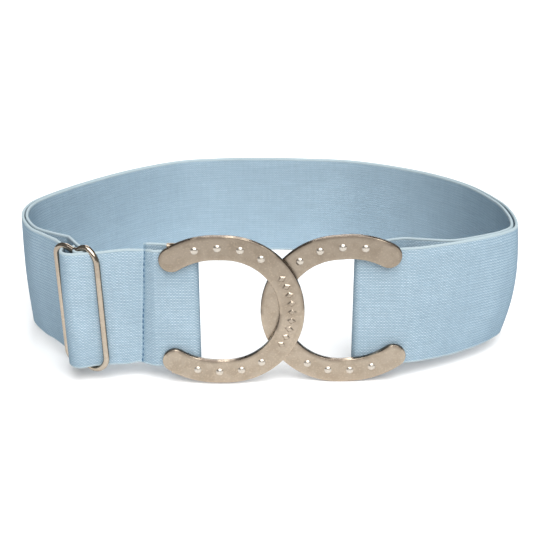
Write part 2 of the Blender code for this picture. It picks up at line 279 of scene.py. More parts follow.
def ramp(low: float, high: float, value: float) -> float:
    """A smooth step from 0 at low to 1 at high."""
    share = min(max((value - low) / (high - low), 0.0), 1.0)
    return share * share * (3 - 2 * share)


@dataclass(frozen=True)
class Corner:
    """A corner of a wire: where it would be if sharp, and the radius it is bent to."""

    point: Vector
    radius: float


@dataclass
class BentWire:
    """A round wire, drawn out straight by extruding and bent round each corner by a spin."""

    name: str
    corners: Sequence[Corner]
    thickness: float
    closed: bool = False
    sides: int = 24
    bend_step: float = math.radians(9)

    def build(self) -> Piece:
        """Draws the wire.

        Returns:
            The closed mesh, at the origin.
        """
        points = [corner.point for corner in self.corners]
        begin = (points[0] + points[-1]) / 2 if self.closed else points[0]
        ahead = points[0] if self.closed else points[1]
        turn = (ahead - begin).to_track_quat("Z", "Y").to_euler()
        deselect_all()
        bpy.ops.mesh.primitive_circle_add(
            vertices=self.sides, radius=self.thickness / 2, location=begin, rotation=turn
        )
        wire = named(self.name)
        settle(wire)
        with editing(wire):
            select_whole()
            place = begin
            for index in self._bent_corners():
                place = self._bend(index, place)
            self._draw(place, begin if self.closed else points[-1])
            if not self.closed:
                select_whole()
                bpy.ops.mesh.fill_holes(sides=0)
            face_outwards()
        turn_outwards(wire)
        smooth(wire)
        return wire

    def _bent_corners(self) -> range:
        """Numbers of the corners that are bent."""
        return range(len(self.corners)) if self.closed else range(1, len(self.corners) - 1)

    def _bend(self, index: int, place: Vector) -> Vector:
        """Draws the wire up to a corner and bends it round.

        Args:
            index: The corner's number.
            place: Where the wire ends so far.

        Returns:
            Where it ends after the bend.
        """
        corner = self.corners[index]
        before = self.corners[index - 1].point
        after = self.corners[(index + 1) % len(self.corners)].point
        back = (before - corner.point).normalized()
        on = (after - corner.point).normalized()
        sweep = math.pi - back.angle(on)
        reach = corner.radius * math.tan(sweep / 2)
        start = corner.point + back * reach
        middle = corner.point + (back + on).normalized() * corner.radius / math.cos(sweep / 2)
        self._draw(place, start)
        bpy.ops.mesh.spin(
            steps=max(2, math.ceil(sweep / self.bend_step)),
            angle=-sweep,
            center=middle,
            axis=(-back).cross(on).normalized(),
        )
        return corner.point + on * reach

    @staticmethod
    def _draw(place: Vector, target: Vector) -> None:
        """Extrudes the wire's end straight on to a point."""
        if (target - place).length > NEAR:
            extrude(target - place)


# Sizes that several pieces share


@dataclass(frozen=True)
class BeltSizes:
    """Sizes of the belt, in metres and radians, as the frame has them."""

    half_width: float = 0.128
    half_depth: float = 0.091
    strap_width: float = 0.061
    strap_thick: float = 0.0016
    front_lift: float = 0.0080
    rest_depth: float = 0.0020
    layer_gap: float = 0.0004
    plate_thick: float = 0.0026
    stud_rise: float = 0.0009
    plates_apart: float = 0.0003
    strap_behind_plate: float = 0.0004
    arm_past_strap: float = 0.0017
    arm_width: float = 0.0120
    arm_straight: float = 0.0040
    heel_radius: float = 0.0370
    heel_turn: float = math.radians(33)
    buckle_middle_x: float = 0.0082
    toes_overlap: float = 0.0210
    left_raise: float = 0.0008
    right_tilt: float = math.radians(4.5)
    bail_wire: float = 0.0030
    bail_room: float = 0.0002
    left_bar_back: float = 0.0151
    right_bar_back: float = 0.0094
    seam_from_bar: float = 0.0256
    slide_wire: float = 0.0022
    slide_ring: float = 0.0030
    slide_span: float = 0.0234
    slide_shift: float = -0.0012
    slide_lean: float = -0.0376
    slide_side: float = -0.684
    slide_turn: float = math.radians(-28)

    @property
    def half_thick(self) -> float:
        """Half the strip's thickness."""
        return self.strap_thick / 2

    @property
    def layer_step(self) -> float:
        """Distance between the middles of two layers that lie on each other."""
        return self.strap_thick + self.layer_gap

    @property
    def arc_radius(self) -> float:
        """Radius of a horseshoe's toe, at the middle of the arm."""
        return self.strap_width / 2 + self.arm_past_strap

    @property
    def arc_outer(self) -> float:
        """Radius of a horseshoe's outer edge."""
        return self.arc_radius + self.arm_width / 2

    @property
    def left_centre_x(self) -> float:
        """Middle of the left horseshoe's toe arc."""
        return self.buckle_middle_x - self.arc_outer + self.toes_overlap / 2

    @property
    def right_centre_x(self) -> float:
        """Middle of the right horseshoe's toe arc."""
        return self.buckle_middle_x + self.arc_outer - self.toes_overlap / 2

    @property
    def left_bar_x(self) -> float:
        """The left bail's bar."""
        return self.left_centre_x - self.left_bar_back

    @property
    def right_bar_x(self) -> float:
        """The right bail's bar."""
        return self.right_centre_x + self.right_bar_back

    @property
    def seam_x(self) -> float:
        """The sewn line beside the left horseshoe."""
        return self.left_bar_x - self.seam_from_bar

    @property
    def left_face_y(self) -> float:
        """Front face of the left plate."""
        return self.stud_rise - self.half_depth

    @property
    def right_face_y(self) -> float:
        """Front face of the right plate."""
        return self.left_face_y + self.plate_thick + self.plates_apart

    @property
    def bar_turn(self) -> float:
        """Radius of the strip's middle round a bail's bar."""
        return self.bail_wire / 2 + self.bail_room + self.half_thick

    @property
    def left_bar_y(self) -> float:
        """Depth of the left bail's bar."""
        back = self.left_face_y + self.plate_thick
        return back + self.strap_behind_plate + self.half_thick + self.bar_turn

    @property
    def right_bar_y(self) -> float:
        """Depth of the right bail's bar."""
        back = self.right_face_y + self.plate_thick
        return back + self.strap_behind_plate + self.half_thick + self.bar_turn

    @property
    def back_mid_y(self) -> float:
        """Middle of the outer layer at the very back."""
        return self.half_depth - self.half_thick

    @property
    def front_mid_y(self) -> float:
        """Middle of the outer layer at the front."""
        return self.right_bar_y - self.bar_turn

    @property
    def side_mid_x(self) -> float:
        """Middle of the outer layer at the sides."""
        return self.half_width - self.half_thick

    @property
    def slide_x(self) -> float:
        """The slide's middle bar."""
        return self.slide_side * self.side_mid_x

    @property
    def slide_y(self) -> float:
        """Depth of the slide's middle bar."""
        return self.left_bar_y

    def middle_height(self, y: float) -> float:
        """Height of the strip's middle line: it rests on the floor at the back and rises to the front.

        Args:
            y: Place from front to back.

        Returns:
            The height.
        """
        rest_y = self.back_mid_y - self.rest_depth
        lift = self.front_lift * max(rest_y - y, 0.0) / (rest_y - self.front_mid_y)
        return lift + self.strap_width / 2

    def slide_point(self, along: float, out: float = 0.0) -> tuple[float, float]:
        """Plan point in the slide's own directions.

        Args:
            along: Way along its width from the middle bar.
            out: Way out to the front.

        Returns:
            The point.
        """
        cosine, sine = math.cos(self.slide_turn), math.sin(self.slide_turn)
        return (self.slide_x + along * cosine + out * sine,
                self.slide_y + along * sine - out * cosine)


# Elastic strip


@dataclass(frozen=True)
class Pin:
    """A bar or bend in plan that the strip is drawn round; turn is 1 anticlockwise."""

    x: float
    y: float
    radius: float
    turn: int


@dataclass(frozen=True)
class BeltRow:
    """A place on the belt: shares of the half width and of the depth, and the inner layer's bow."""

    side: float
    deep: float
    bow: float = 0.0


@dataclass(frozen=True)
class BeltRoute:
    """The strip's way in plan, from its sewn end to its flap at the slide."""

    sizes: BeltSizes
    layer_bow: float = 0.0128
    column_step: float = 0.0018
    fine_step: float = 0.0012
    seam_step: float = 0.0004
    fine_reach: float = 0.004
    step_slack: float = 0.99
    pin_step: float = math.radians(11)
    most_turn: float = 1.5 * math.pi
    seam_bend: float = 0.004
    knee_from_bar: float = 0.0174
    cut_short: float = 0.0013
    flap_length: float = 0.0075
    slide_room: float = 0.0005
    slide_loop_room: float = 0.0006
    slide_over: float = 0.0056
    slide_hump: tuple[float, float] = (-0.0030, 0.0012)
    flap_fall: float = math.radians(50)
    rows: tuple[BeltRow, ...] = (
        BeltRow(-0.792, 0.080, 0.40), BeltRow(-0.854, 0.130, 0.16), BeltRow(-0.921, 0.188, 0.04),
        BeltRow(-0.983, 0.292), BeltRow(-1.000, 0.402), BeltRow(-0.962, 0.500),
        BeltRow(-0.830, 0.664), BeltRow(-0.644, 0.832), BeltRow(-0.432, 0.955),
        BeltRow(-0.230, 0.993), BeltRow(-0.045, 1.000), BeltRow(0.140, 0.994),
        BeltRow(0.425, 0.957), BeltRow(0.711, 0.820), BeltRow(0.894, 0.652),
        BeltRow(0.983, 0.468, 0.02), BeltRow(1.000, 0.340, 0.04), BeltRow(0.975, 0.208, 0.02),
        BeltRow(0.919, 0.152), BeltRow(0.852, 0.114, 0.02), BeltRow(0.750, 0.070, 0.06),
        BeltRow(0.697, 0.050, 0.22), BeltRow(0.644, 0.033, 0.57), BeltRow(0.567, 0.012, 1.00),
        BeltRow(0.497, 0.003, 0.95),
    )

    def points(self) -> list[Vector]:
        """The whole way.

        Returns:
            Plan points, close enough together for a smooth strip.
        """
        sizes = self.sizes
        outer, inner = self._belt_line()
        seam_y = sizes.left_bar_y + sizes.half_thick
        slide_loop = sizes.slide_wire / 2 + self.slide_loop_room + sizes.half_thick
        cut_end = self._point_pin(Vector((sizes.seam_x + self.cut_short,
                                          seam_y + sizes.layer_step)))
        left_bar = Pin(sizes.left_bar_x, sizes.left_bar_y, sizes.bar_turn, -1)
        fold_knee = Pin(sizes.left_bar_x - self.knee_from_bar, sizes.left_bar_y,
                        sizes.bar_turn, -1)
        seam = Pin(sizes.seam_x, seam_y - self.seam_bend, self.seam_bend, 1)
        over_slide = Pin(*sizes.slide_point(*self.slide_hump), self.slide_over, -1)
        wire_knee = Pin(*sizes.slide_point(sizes.slide_shift - sizes.slide_span / 2),
                        sizes.slide_ring / 2 + self.slide_room + sizes.half_thick, 1)
        front = self._round_pins([cut_end, left_bar, fold_knee, seam, over_slide, wire_knee,
                                  self._point_pin(outer[0])])
        right_bar = Pin(sizes.right_bar_x, sizes.right_bar_y, sizes.bar_turn, -1)
        turn_back = self._round_pins([self._point_pin(outer[-1]), right_bar,
                                      self._point_pin(inner[-1])])
        loop = Pin(sizes.slide_x, sizes.slide_y, slide_loop, -1)
        leaving = math.pi + sizes.slide_turn - self.flap_fall
        flap = self._beside(loop, leaving)
        flap_end = flap + Vector((math.cos(leaving), math.sin(leaving))) * self.flap_length
        end_loop = self._round_pins([self._point_pin(inner[0]), loop,
                                     self._point_pin(flap_end)])
        return (self._refined(front)[:-1] + outer + self._refined(turn_back)[1:-1]
                + inner[:0:-1] + self._refined(end_loop))

    def _plan_point(self, row: BeltRow) -> Vector:
        """Plan point of a row."""
        sizes = self.sizes
        return Vector((row.side * sizes.side_mid_x,
                       sizes.front_mid_y + row.deep * (sizes.back_mid_y - sizes.front_mid_y)))

    @staticmethod
    def _smooth_value(a: float, b: float, c: float, d: float, t: float) -> float:
        """Catmull-Rom value between b and c."""
        return 0.5 * (2 * b + (c - a) * t + (2 * a - 5 * b + 4 * c - d) * t ** 2
                      + (3 * b - a - 3 * c + d) * t ** 3)

    def _belt_line(self) -> tuple[list[Vector], list[Vector]]:
        """Outer and inner layer round the belt, from left to right."""
        rows = [(*self._plan_point(row), row.bow * self.layer_bow) for row in self.rows]
        rows = [rows[0], *rows, rows[-1]]
        samples = []
        for a, b, c, d in zip(rows, rows[1:], rows[2:], rows[3:]):
            steps = max(1, round(math.dist(b[:2], c[:2]) / self.column_step))
            for i in range(steps):
                samples.append([self._smooth_value(*values, i / steps)
                                for values in zip(a, b, c, d)])
        samples.append(list(rows[-1]))
        outer = [Vector(sample[:2]) for sample in samples]
        inner = []
        for i, point in enumerate(outer):
            run = (outer[min(i + 1, len(outer) - 1)] - outer[max(i - 1, 0)]).normalized()
            stand_off = self.sizes.layer_step + max(samples[i][2], 0.0)
            inner.append(point + Vector((run.y, -run.x)) * stand_off)
        return outer, inner

    @staticmethod
    def _heading(start: Pin, end: Pin) -> float:
        """Heading of the straight run that leaves one pin and meets the next."""
        along = math.atan2(end.y - start.y, end.x - start.x)
        offset = end.turn * end.radius - start.turn * start.radius
        return along - math.asin(offset / math.dist((start.x, start.y), (end.x, end.y)))

    @staticmethod
    def _beside(pin: Pin, heading: float) -> Vector:
        """The point on a pin's circle where the strip runs with this heading."""
        return Vector((pin.x + pin.turn * pin.radius * math.sin(heading),
                       pin.y - pin.turn * pin.radius * math.cos(heading)))

    @staticmethod
    def _point_pin(point: Vector) -> Pin:
        """A pin without size, for the end of a run."""
        return Pin(point.x, point.y, 0.0, 1)

    def _round_pins(self, pins: Sequence[Pin]) -> list[Vector]:
        """Points along a strip drawn taut round a row of pins."""
        headings = [self._heading(a, b) for a, b in zip(pins, pins[1:])]
        points = [self._beside(pins[0], headings[0])]
        for pin, before, after in zip(pins[1:], headings, headings[1:]):
            sweep = ((after - before) * pin.turn) % math.tau
            if sweep > self.most_turn:
                sweep = 0.0
            steps = max(1, math.ceil(sweep / self.pin_step))
            points += [self._beside(pin, before + pin.turn * sweep * i / steps)
                       for i in range(steps + 1)]
        points.append(self._beside(pins[-1], headings[-1]))
        return points

    def _refined(self, points: Sequence[Vector]) -> list[Vector]:
        """The same line with its long runs divided, finely near the seam."""
        fine = [points[0]]
        for start, end in zip(points, points[1:]):
            steps = max(1, math.ceil((end - start).length / self.seam_step))
            last = 0
            for i in range(1, steps + 1):
                point = start.lerp(end, i / steps)
                by_seam = abs(point.x - self.sizes.seam_x) < self.fine_reach
                wanted = self.seam_step if by_seam else self.fine_step
                gone = (i - last) / steps * (end - start).length
                if i == steps or gone >= wanted * self.step_slack:
                    fine.append(point)
                    last = i
        return fine


@dataclass(frozen=True)
class SideBend:
    """How the strip curls at one side of the belt: round which place, and how far.

    The place is given as shares of the half width and of the depth. Out moves the whole wall
    outwards, bulge its middle, tuck draws the lower edge in and rise lifts it.
    """

    side: float
    deep: float
    out: float
    bulge: float
    tuck: float
    rise: float


@dataclass
class ElasticStrip:
    """The belt's one strip of pale blue elastic, with its selvedges and its sewn ends."""

    sizes: BeltSizes
    route: BeltRoute
    face_rows: int = 12
    face_share: float = 0.94
    selvedge: float = 0.0015
    edge_form: tuple[tuple[float, float], ...] = (
        (0.22, 0.86), (0.45, 0.98), (0.70, 0.96), (0.90, 0.62), (1.00, 0.0))
    least_step: float = 0.00003
    smooth_angle: float = math.radians(60)
    side_bends: tuple[SideBend, ...] = (
        SideBend(-0.888, 0.160, 0.0004, 0.0018, 0.0034, 0.0014),
        SideBend(0.951, 0.212, 0.0012, 0.0022, 0.0036, 0.0014),
    )
    tuck_power: float = 2.6
    tuck_reach: float = 0.0250
    slide_sag: float = 0.0010
    sag_at: tuple[float, float] = (-0.001, 0.0062)
    sag_reach: float = 0.0062
    slide_lift: float = 0.0010
    lift_at: tuple[float, float] = (-0.0095, -0.001)
    lift_reach: float = 0.003
    fold_raise: float = 0.0022
    fold_power: float = 0.6
    seam_pinch: float = 0.0006
    seam_reach: float = 0.0040
    slide_pinch: float = 0.0008
    slide_reach: float = 0.0160
    seam_lean: float = math.tan(math.radians(3.6))
    lean_reach: float = 0.008
    seam_line: float = 0.0021
    press: float = 0.00030
    most_press: float = 0.6
    press_width: float = 0.0009
    ridge_from_seam: float = 0.0010
    ridge_width: float = 0.0004
    seam_sway: float = 0.00022
    sway_length: float = 0.0043
    sewn_reach: float = 0.075
    line: list[Vector] = field(default_factory=list, init=False)
    ways: list[float] = field(default_factory=list, init=False)

    def build(self) -> Piece:
        """Makes the strip in mesh code, with a UV map in metres along and across it.

        Returns:
            The strip, closed at both ends.
        """
        points = self.route.points()
        line = [points[0]] + [b for a, b in zip(points, points[1:])
                              if (b - a).length > self.least_step]
        outline = self._section()
        ways = [0.0]
        for before, after in zip(line, line[1:]):
            ways.append(ways[-1] + (after - before).length)
        self.line, self.ways = line, ways
        mesh = bmesh.new()
        uv = mesh.loops.layers.uv.new("strip")
        # Per-vertex masks: the painted shade in the sewn groove and the painted highlight on the ridge
        # beside it.
        painted_groove_shade = mesh.verts.layers.float.new("painted_groove_shade")
        ridge = mesh.verts.layers.float.new("ridge")
        columns = []
        for index, point in enumerate(line):
            ahead = line[min(index + 1, len(line) - 1)] - line[max(index - 1, 0)]
            out = Vector((-ahead.y, ahead.x)).normalized()
            column = []
            for height, offset in outline:
                share = self._press_share(point, height, ways[index])
                place = self._place(point, out, height, offset - math.copysign(
                    min(self.press * share, abs(offset) * self.most_press), offset))
                place.z += self._fold_rise(ways[index])
                vertex = mesh.verts.new(place)
                vertex[painted_groove_shade] = share
                vertex[ridge] = self._ridge_share(point, offset, ways[index])
                column.append(vertex)
            columns.append(column)
        count = len(outline)
        for index, (left, right) in enumerate(zip(columns, columns[1:])):
            for k in range(count):
                n = (k + 1) % count
                face = mesh.faces.new((left[k], right[k], right[n], left[n]))
                spots = ((index, k), (index + 1, k), (index + 1, n), (index, n))
                for loop, (i, j) in zip(face.loops, spots):
                    loop[uv].uv = (ways[i], outline[j][0])
        for column, way in ((columns[0], ways[0]), (columns[-1], ways[-1])):
            face = mesh.faces.new(column)
            for loop, (height, offset) in zip(face.loops, outline):
                loop[uv].uv = (way + offset, height)
        bmesh.ops.recalc_face_normals(mesh, faces=mesh.faces)
        data = bpy.data.meshes.new("elastic_strip")
        mesh.to_mesh(data)
        mesh.free()
        strip = linked("elastic_strip", data)
        turn_outwards(strip)
        smooth(strip, self.smooth_angle)
        return strip

    def _section(self) -> list[tuple[float, float]]:
        """Closed outline of the strip's cross section, as height and offset outwards."""
        half, thick = self.sizes.strap_width / 2, self.sizes.half_thick
        inside = half - self.selvedge
        face = [(-inside + 2 * inside * i / self.face_rows, thick * self.face_share)
                for i in range(self.face_rows + 1)]
        upper = [(inside + self.selvedge * share, thick * rise) for share, rise in self.edge_form]
        lower = [(-height, offset) for height, offset in reversed(upper)]
        outer = lower + face + upper
        inner = [(height, -offset) for height, offset in reversed(outer[1:-1])]
        return outer + inner

    def seam_shift(self, height: float) -> float:
        """How far the stitched line stands off its middle in x at a height over the strip's middle.

        Args:
            height: Height over the middle line.

        Returns:
            The lean of the line, and its small sway to and fro.
        """
        return self.seam_lean * height + self.seam_sway * math.sin(height / self.sway_length)

    @property
    def length(self) -> float:
        """The strip's whole length."""
        return self.ways[-1]

    def spot(self, x: float, first: float, last: float, way_x: int) -> tuple[Vector, Vector]:
        """Where one layer of the strip crosses a plane of constant x.

        Args:
            x: The plane's place.
            first: Way along the strip from which it is searched.
            last: Way along the strip up to which it is searched.
            way_x: 1 for a layer that runs towards +X and -1 for one that runs back.

        Returns:
            The plan point on the strip's middle and the plan direction out of the belt.
        """
        for way, start, end in zip(self.ways, self.line, self.line[1:]):
            if first <= way <= last and (start.x - x) * (end.x - x) <= 0 < (end.x
                                                                           - start.x) * way_x:
                run = (end - start).normalized()
                share = (x - start.x) / (end.x - start.x)
                return start.lerp(end, share), Vector((-run.y, run.x))
        raise ValueError(f"no layer of the strip crosses x = {x:.4f}")

    def _press_share(self, point: Vector, height: float, way: float) -> float:
        """How much the sewing presses the strip in at a place, from 0 to 1; it is also the mask of the
        painted shade in the groove.
        """
        if way > self.sewn_reach:
            return 0.0
        distance = point.x - self.sizes.seam_x - self.seam_line
        return math.exp(-(distance / self.press_width) ** 2)

    def _ridge_share(self, point: Vector, offset: float, way: float) -> float:
        """How much a place lies on the ridge beside the seam, from 0 to 1: the mask of a painted
        highlight there, as the mesh does not raise a ridge.
        """
        if way > self.sewn_reach or offset < 0:
            return 0.0
        distance = point.x - self.sizes.seam_x - self.seam_line + self.ridge_from_seam
        return math.exp(-(distance / self.ridge_width) ** 2)

    def _curl(self, point: Vector, low: float) -> tuple[float, float]:
        """How far the side bends move a place out of the belt and up.

        Args:
            point: The plan point on the strip's middle.
            low: 0 at the upper edge and 1 at the lower edge.

        Returns:
            The way out and the rise.
        """
        sizes = self.sizes
        out = rise = 0.0
        for bend in self.side_bends:
            place = Vector((bend.side * sizes.side_mid_x, sizes.front_mid_y
                            + bend.deep * (sizes.back_mid_y - sizes.front_mid_y)))
            share = math.exp(-((point - place).length / self.tuck_reach) ** 2)
            drawn = low ** self.tuck_power
            out += share * (bend.out + bend.bulge * math.sin(math.pi * low)
                            - bend.tuck * drawn)
            rise += share * bend.rise * drawn
        return out, rise

    def _pinch(self, point: Vector) -> float:
        """How far both edges are drawn in beside the seam and inside the slide."""
        sizes = self.sizes
        at_seam = (point - Vector((sizes.seam_x, sizes.left_bar_y))).length / self.seam_reach
        at_slide = (point - Vector((sizes.slide_x, sizes.slide_y))).length / self.slide_reach
        return (self.seam_pinch * math.exp(-at_seam ** 2)
                + self.slide_pinch * math.exp(-at_slide ** 4))

    def _place(self, point: Vector, out: Vector, height: float, offset: float) -> Vector:
        """Where a point of the cross section goes.

        Args:
            point: The plan point on the strip's middle.
            out: The plan direction out of the belt.
            height: Height over the middle line.
            offset: Way out of the strip's middle.

        Returns:
            The place in the frame.
        """
        sizes = self.sizes
        half = sizes.strap_width / 2
        plan = point + out * offset
        z = sizes.middle_height(point.y) + height * (1 - self._pinch(point) / half)
        low = (half - height) / sizes.strap_width
        out_way, rise = self._curl(point, low)
        plan = plan + point.normalized() * out_way
        z += rise + self._slide_shift(point) * low ** 2
        from_seam = (point - Vector((sizes.seam_x, sizes.left_bar_y))).length
        plan.x += self.seam_lean * height * math.exp(-(from_seam / self.lean_reach) ** 2)
        return Vector((plan.x, plan.y, z))

    def _fold_rise(self, way: float) -> float:
        """Rise of the folded-back end, which was sewn down a little too high."""
        share = max(1 - way / (self.sizes.seam_from_bar - self.route.cut_short), 0.0)
        return self.fold_raise * share ** self.fold_power

    def _slide_shift(self, point: Vector) -> float:
        """Rise of the lower edge inside the slide, and its sag in front of the middle bar."""
        front = (point - Vector(self.sizes.slide_point(*self.sag_at))).length
        knee = (point - Vector(self.sizes.slide_point(*self.lift_at))).length
        return (self.slide_lift * math.exp(-(knee / self.lift_reach) ** 2)
                - self.slide_sag * math.exp(-(front / self.sag_reach) ** 2))


@dataclass
class SewnRow:
    """A row of stitches: one stitch is modelled and copied along the row."""

    name: str
    starts: Sequence[tuple[Vector, Vector, Vector]]
    length: float = 0.0021
    thread: float = 0.00062
    middle_share: float = 0.05
    end_sink: float = 0.45
    bow_share: float = 0.55
    smooth_angle: float = math.radians(80)

    def build(self) -> Piece:
        """Makes the row.

        Returns:
            All stitches of the row as one piece.
        """
        model = self._stitch()
        stitches = []
        for middle, along, out in self.starts:
            along = along.normalized()
            side = out.cross(along).normalized()
            out = along.cross(side)
            place = Matrix((side, along, out)).transposed().to_4x4()
            place.translation = middle
            stitches.append(copied(model, place))
        bpy.data.objects.remove(model, do_unlink=True)
        row = joined(stitches)
        row.name = self.name
        row.data.name = self.name
        smooth(row, self.smooth_angle)
        return row

    def _stitch(self) -> Piece:
        """One stitch along +Y that bows up a little in +Z, its ends sunk in the cloth."""
        deselect_all()
        bpy.ops.mesh.primitive_uv_sphere_add(segments=10, ring_count=8, radius=self.thread / 2,
                                             rotation=(math.radians(90), 0.0, 0.0))
        stitch = named("stitch")
        settle(stitch)
        reach = self.length / 2 - self.thread / 2
        near = self.thread * self.middle_share
        with editing(stitch):
            for way in (1, -1):
                pick(stitch, lambda co: co.y * way > near)
                bpy.ops.transform.translate(
                    value=(0.0, way * reach, -self.thread * self.end_sink))
            pick(stitch, lambda co: abs(co.y) < near)
            bpy.ops.mesh.bevel(offset=reach * self.bow_share, segments=3, affect="EDGES")
            face_outwards()
        turn_outwards(stitch)
        return stitch


# Horseshoes


@dataclass
class HorseshoePlate:
    """One stamped horseshoe plate with its nail studs, modelled lying with its toe to +X."""

    sizes: BeltSizes
    side: Side
    edge_round: float = 0.00055
    crown: float = 0.00012
    crown_cuts: int = 7
    rim_band: tuple[float, float] = (0.0011, 0.0001)
    stud_width: float = 0.0039
    stud_pitch: float = 0.0107
    stud_first: float = 0.0187
    studs_on_arm: int = 4
    skirt_depth: float = 0.00028
    skirt_spread: float = 1.14
    dome_polish: float = 0.35
    toe_steps: int = 26
    heel_steps: int = 12
    tip_steps: int = 20
    lozenges: int = 9
    lozenge_pitch: float = 0.0045
    lozenge_size: Triple = (0.0038, 0.0052, 0.00060)
    lozenge_top: float = 0.26
    lozenge_foot: float = 1.3
    lozenge_rise: float = 0.35
    lozenge_edge: float = 0.00012
    lozenge_polish: float = 0.12

    def build(self) -> Piece:
        """Makes the plate, its studs and, on the left one, the toe's row of lozenges.

        Returns:
            The plate standing at its place.
        """
        plate = self._plate()
        model = self._stud()
        raised = [copied(model, Matrix.Translation((x, y, self.sizes.plate_thick / 2)))
                  for x, y in self._stud_places()]
        bpy.data.objects.remove(model, do_unlink=True)
        if self.side is Side.LEFT:
            raised += self._toe_row()
        made = joined([plate, *raised])
        set_value(made, "rim", self._rim)
        set_value(made, "upper", self._upper)
        self._stand(made)
        smooth(made)
        return made

    def _arm_point(self, way: float) -> tuple[Vector, float]:
        """Middle of the upper arm and its heading, at a way from the top to the toe."""
        sizes = self.sizes
        if way >= 0:
            angle = way / sizes.arc_radius
            return Vector((math.sin(angle), math.cos(angle))) * sizes.arc_radius, -angle
        if way >= -sizes.arm_straight:
            return Vector((way, sizes.arc_radius)), 0.0
        angle = (-way - sizes.arm_straight) / sizes.heel_radius
        bend = Vector((-math.sin(angle), math.cos(angle) - 1)) * sizes.heel_radius
        return Vector((-sizes.arm_straight, sizes.arc_radius)) + bend, angle

    def _plate(self) -> Piece:
        """The plate: its section is swept round the toe, along the arm and round the heel."""
        sizes = self.sizes
        radius = sizes.arc_radius
        deselect_all()
        bpy.ops.mesh.primitive_plane_add(size=1.0, location=(0.0, radius, 0.0),
                                         rotation=(0.0, math.radians(90), 0.0))
        plate = named(f"{self.side.name.lower()}_plate")
        plate.scale = (sizes.plate_thick, sizes.arm_width, 1.0)
        settle(plate)
        with editing(plate):
            select_whole()
            bpy.ops.mesh.bevel(offset=self.edge_round, segments=4, affect="VERTICES")
            bpy.ops.mesh.delete(type="ONLY_FACE")
            self._divide_faces(plate)
            select_whole()
            bpy.ops.mesh.spin(steps=self.toe_steps, angle=math.radians(90),
                              center=(0.0, 0.0, 0.0), axis=(0.0, 0.0, 1.0))
            pick(plate, lambda co: abs(co.x) < NEAR and co.y > 0)
            extrude((-sizes.arm_straight, 0.0, 0.0))
            bpy.ops.mesh.spin(
                steps=self.heel_steps, angle=-sizes.heel_turn,
                center=(-sizes.arm_straight, radius - sizes.heel_radius, 0.0),
                axis=(0.0, 0.0, 1.0))
            self._round_tip(plate)
            face_outwards()
        mirror = plate.modifiers.new("lower_arm", "MIRROR")
        mirror.use_axis = (False, True, False)
        mirror.use_mirror_merge = True
        mirror.merge_threshold = NEAR
        take(plate)
        bpy.ops.object.modifier_apply(modifier=mirror.name)
        with editing(plate):
            face_outwards()
        turn_outwards(plate)
        return plate

    def _divide_faces(self, plate: Piece) -> None:
        """Divides the section's front and back and gives the front a slight crown."""
        half = self.sizes.plate_thick / 2
        radius = self.sizes.arc_radius
        pick(plate, lambda co: abs(abs(co.z) - half) < NEAR)
        bpy.ops.mesh.subdivide(number_cuts=self.crown_cuts)
        mesh = bmesh.from_edit_mesh(plate.data)
        reach = self.sizes.arm_width / 2 - self.edge_round
        for vertex in mesh.verts:
            if vertex.co.z > half - NEAR:
                across = (vertex.co.y - radius) / reach
                vertex.co.z += self.crown * max(0.0, 1 - across * across)
        bmesh.update_edit_mesh(plate.data)

    def _tip(self) -> tuple[Vector, float]:
        """Middle of the heel's end, and the arm's heading there."""
        sizes = self.sizes
        return self._arm_point(-sizes.arm_straight - sizes.heel_radius * sizes.heel_turn)

    def _round_tip(self, plate: Piece) -> None:
        """Rounds the heel's end by spinning the outer half of its section."""
        tip, heading = self._tip()
        along = Vector((math.cos(heading), math.sin(heading)))
        out = Vector((-math.sin(heading), math.cos(heading)))

        def outer_half(place: Vector) -> bool:
            way = Vector(place.xy) - tip
            return abs(way.dot(along)) < 2 * NEAR and way.dot(out) > -2 * NEAR

        pick(plate, outer_half)
        bpy.ops.mesh.spin(steps=self.tip_steps, angle=-math.pi, center=(tip.x, tip.y, 0.0),
                          axis=(0.0, 0.0, 1.0))

    def _stud_places(self) -> list[tuple[float, float]]:
        """Middles of the studs on both arms."""
        ways = [self.stud_first - self.stud_pitch * i for i in range(self.studs_on_arm)]
        arm = [self._arm_point(way)[0] for way in ways]
        return [(point.x, half * point.y) for point in arm for half in (1, -1)]

    def _stud(self) -> Piece:
        """One domed stud on a narrow skirt, its foot sunk in the plate."""
        rise = self.sizes.stud_rise
        radius = (self.stud_width ** 2 / 4 + rise ** 2) / (2 * rise)
        deselect_all()
        bpy.ops.mesh.primitive_uv_sphere_add(segments=28, ring_count=24, radius=radius,
                                             location=(0.0, 0.0, rise - radius))
        stud = named("stud")
        settle(stud)
        with editing(stud):
            select_whole()
            bpy.ops.mesh.bisect(plane_co=(0.0, 0.0, 0.0), plane_no=(0.0, 0.0, 1.0),
                                use_fill=True, clear_inner=True)
            bpy.ops.mesh.select_mode(type="FACE")
            pick_faces(stud, lambda middle, normal: abs(middle.z) < NEAR
                       and abs(normal.z) > FACING)
            extrude((0.0, 0.0, -self.skirt_depth))
            bpy.ops.transform.resize(value=(self.skirt_spread, self.skirt_spread, 1.0))
            face_outwards()
        turn_outwards(stud)
        set_value(stud, "polish", lambda place: ramp(0.0, self.dome_polish, place.z / rise))
        return stud

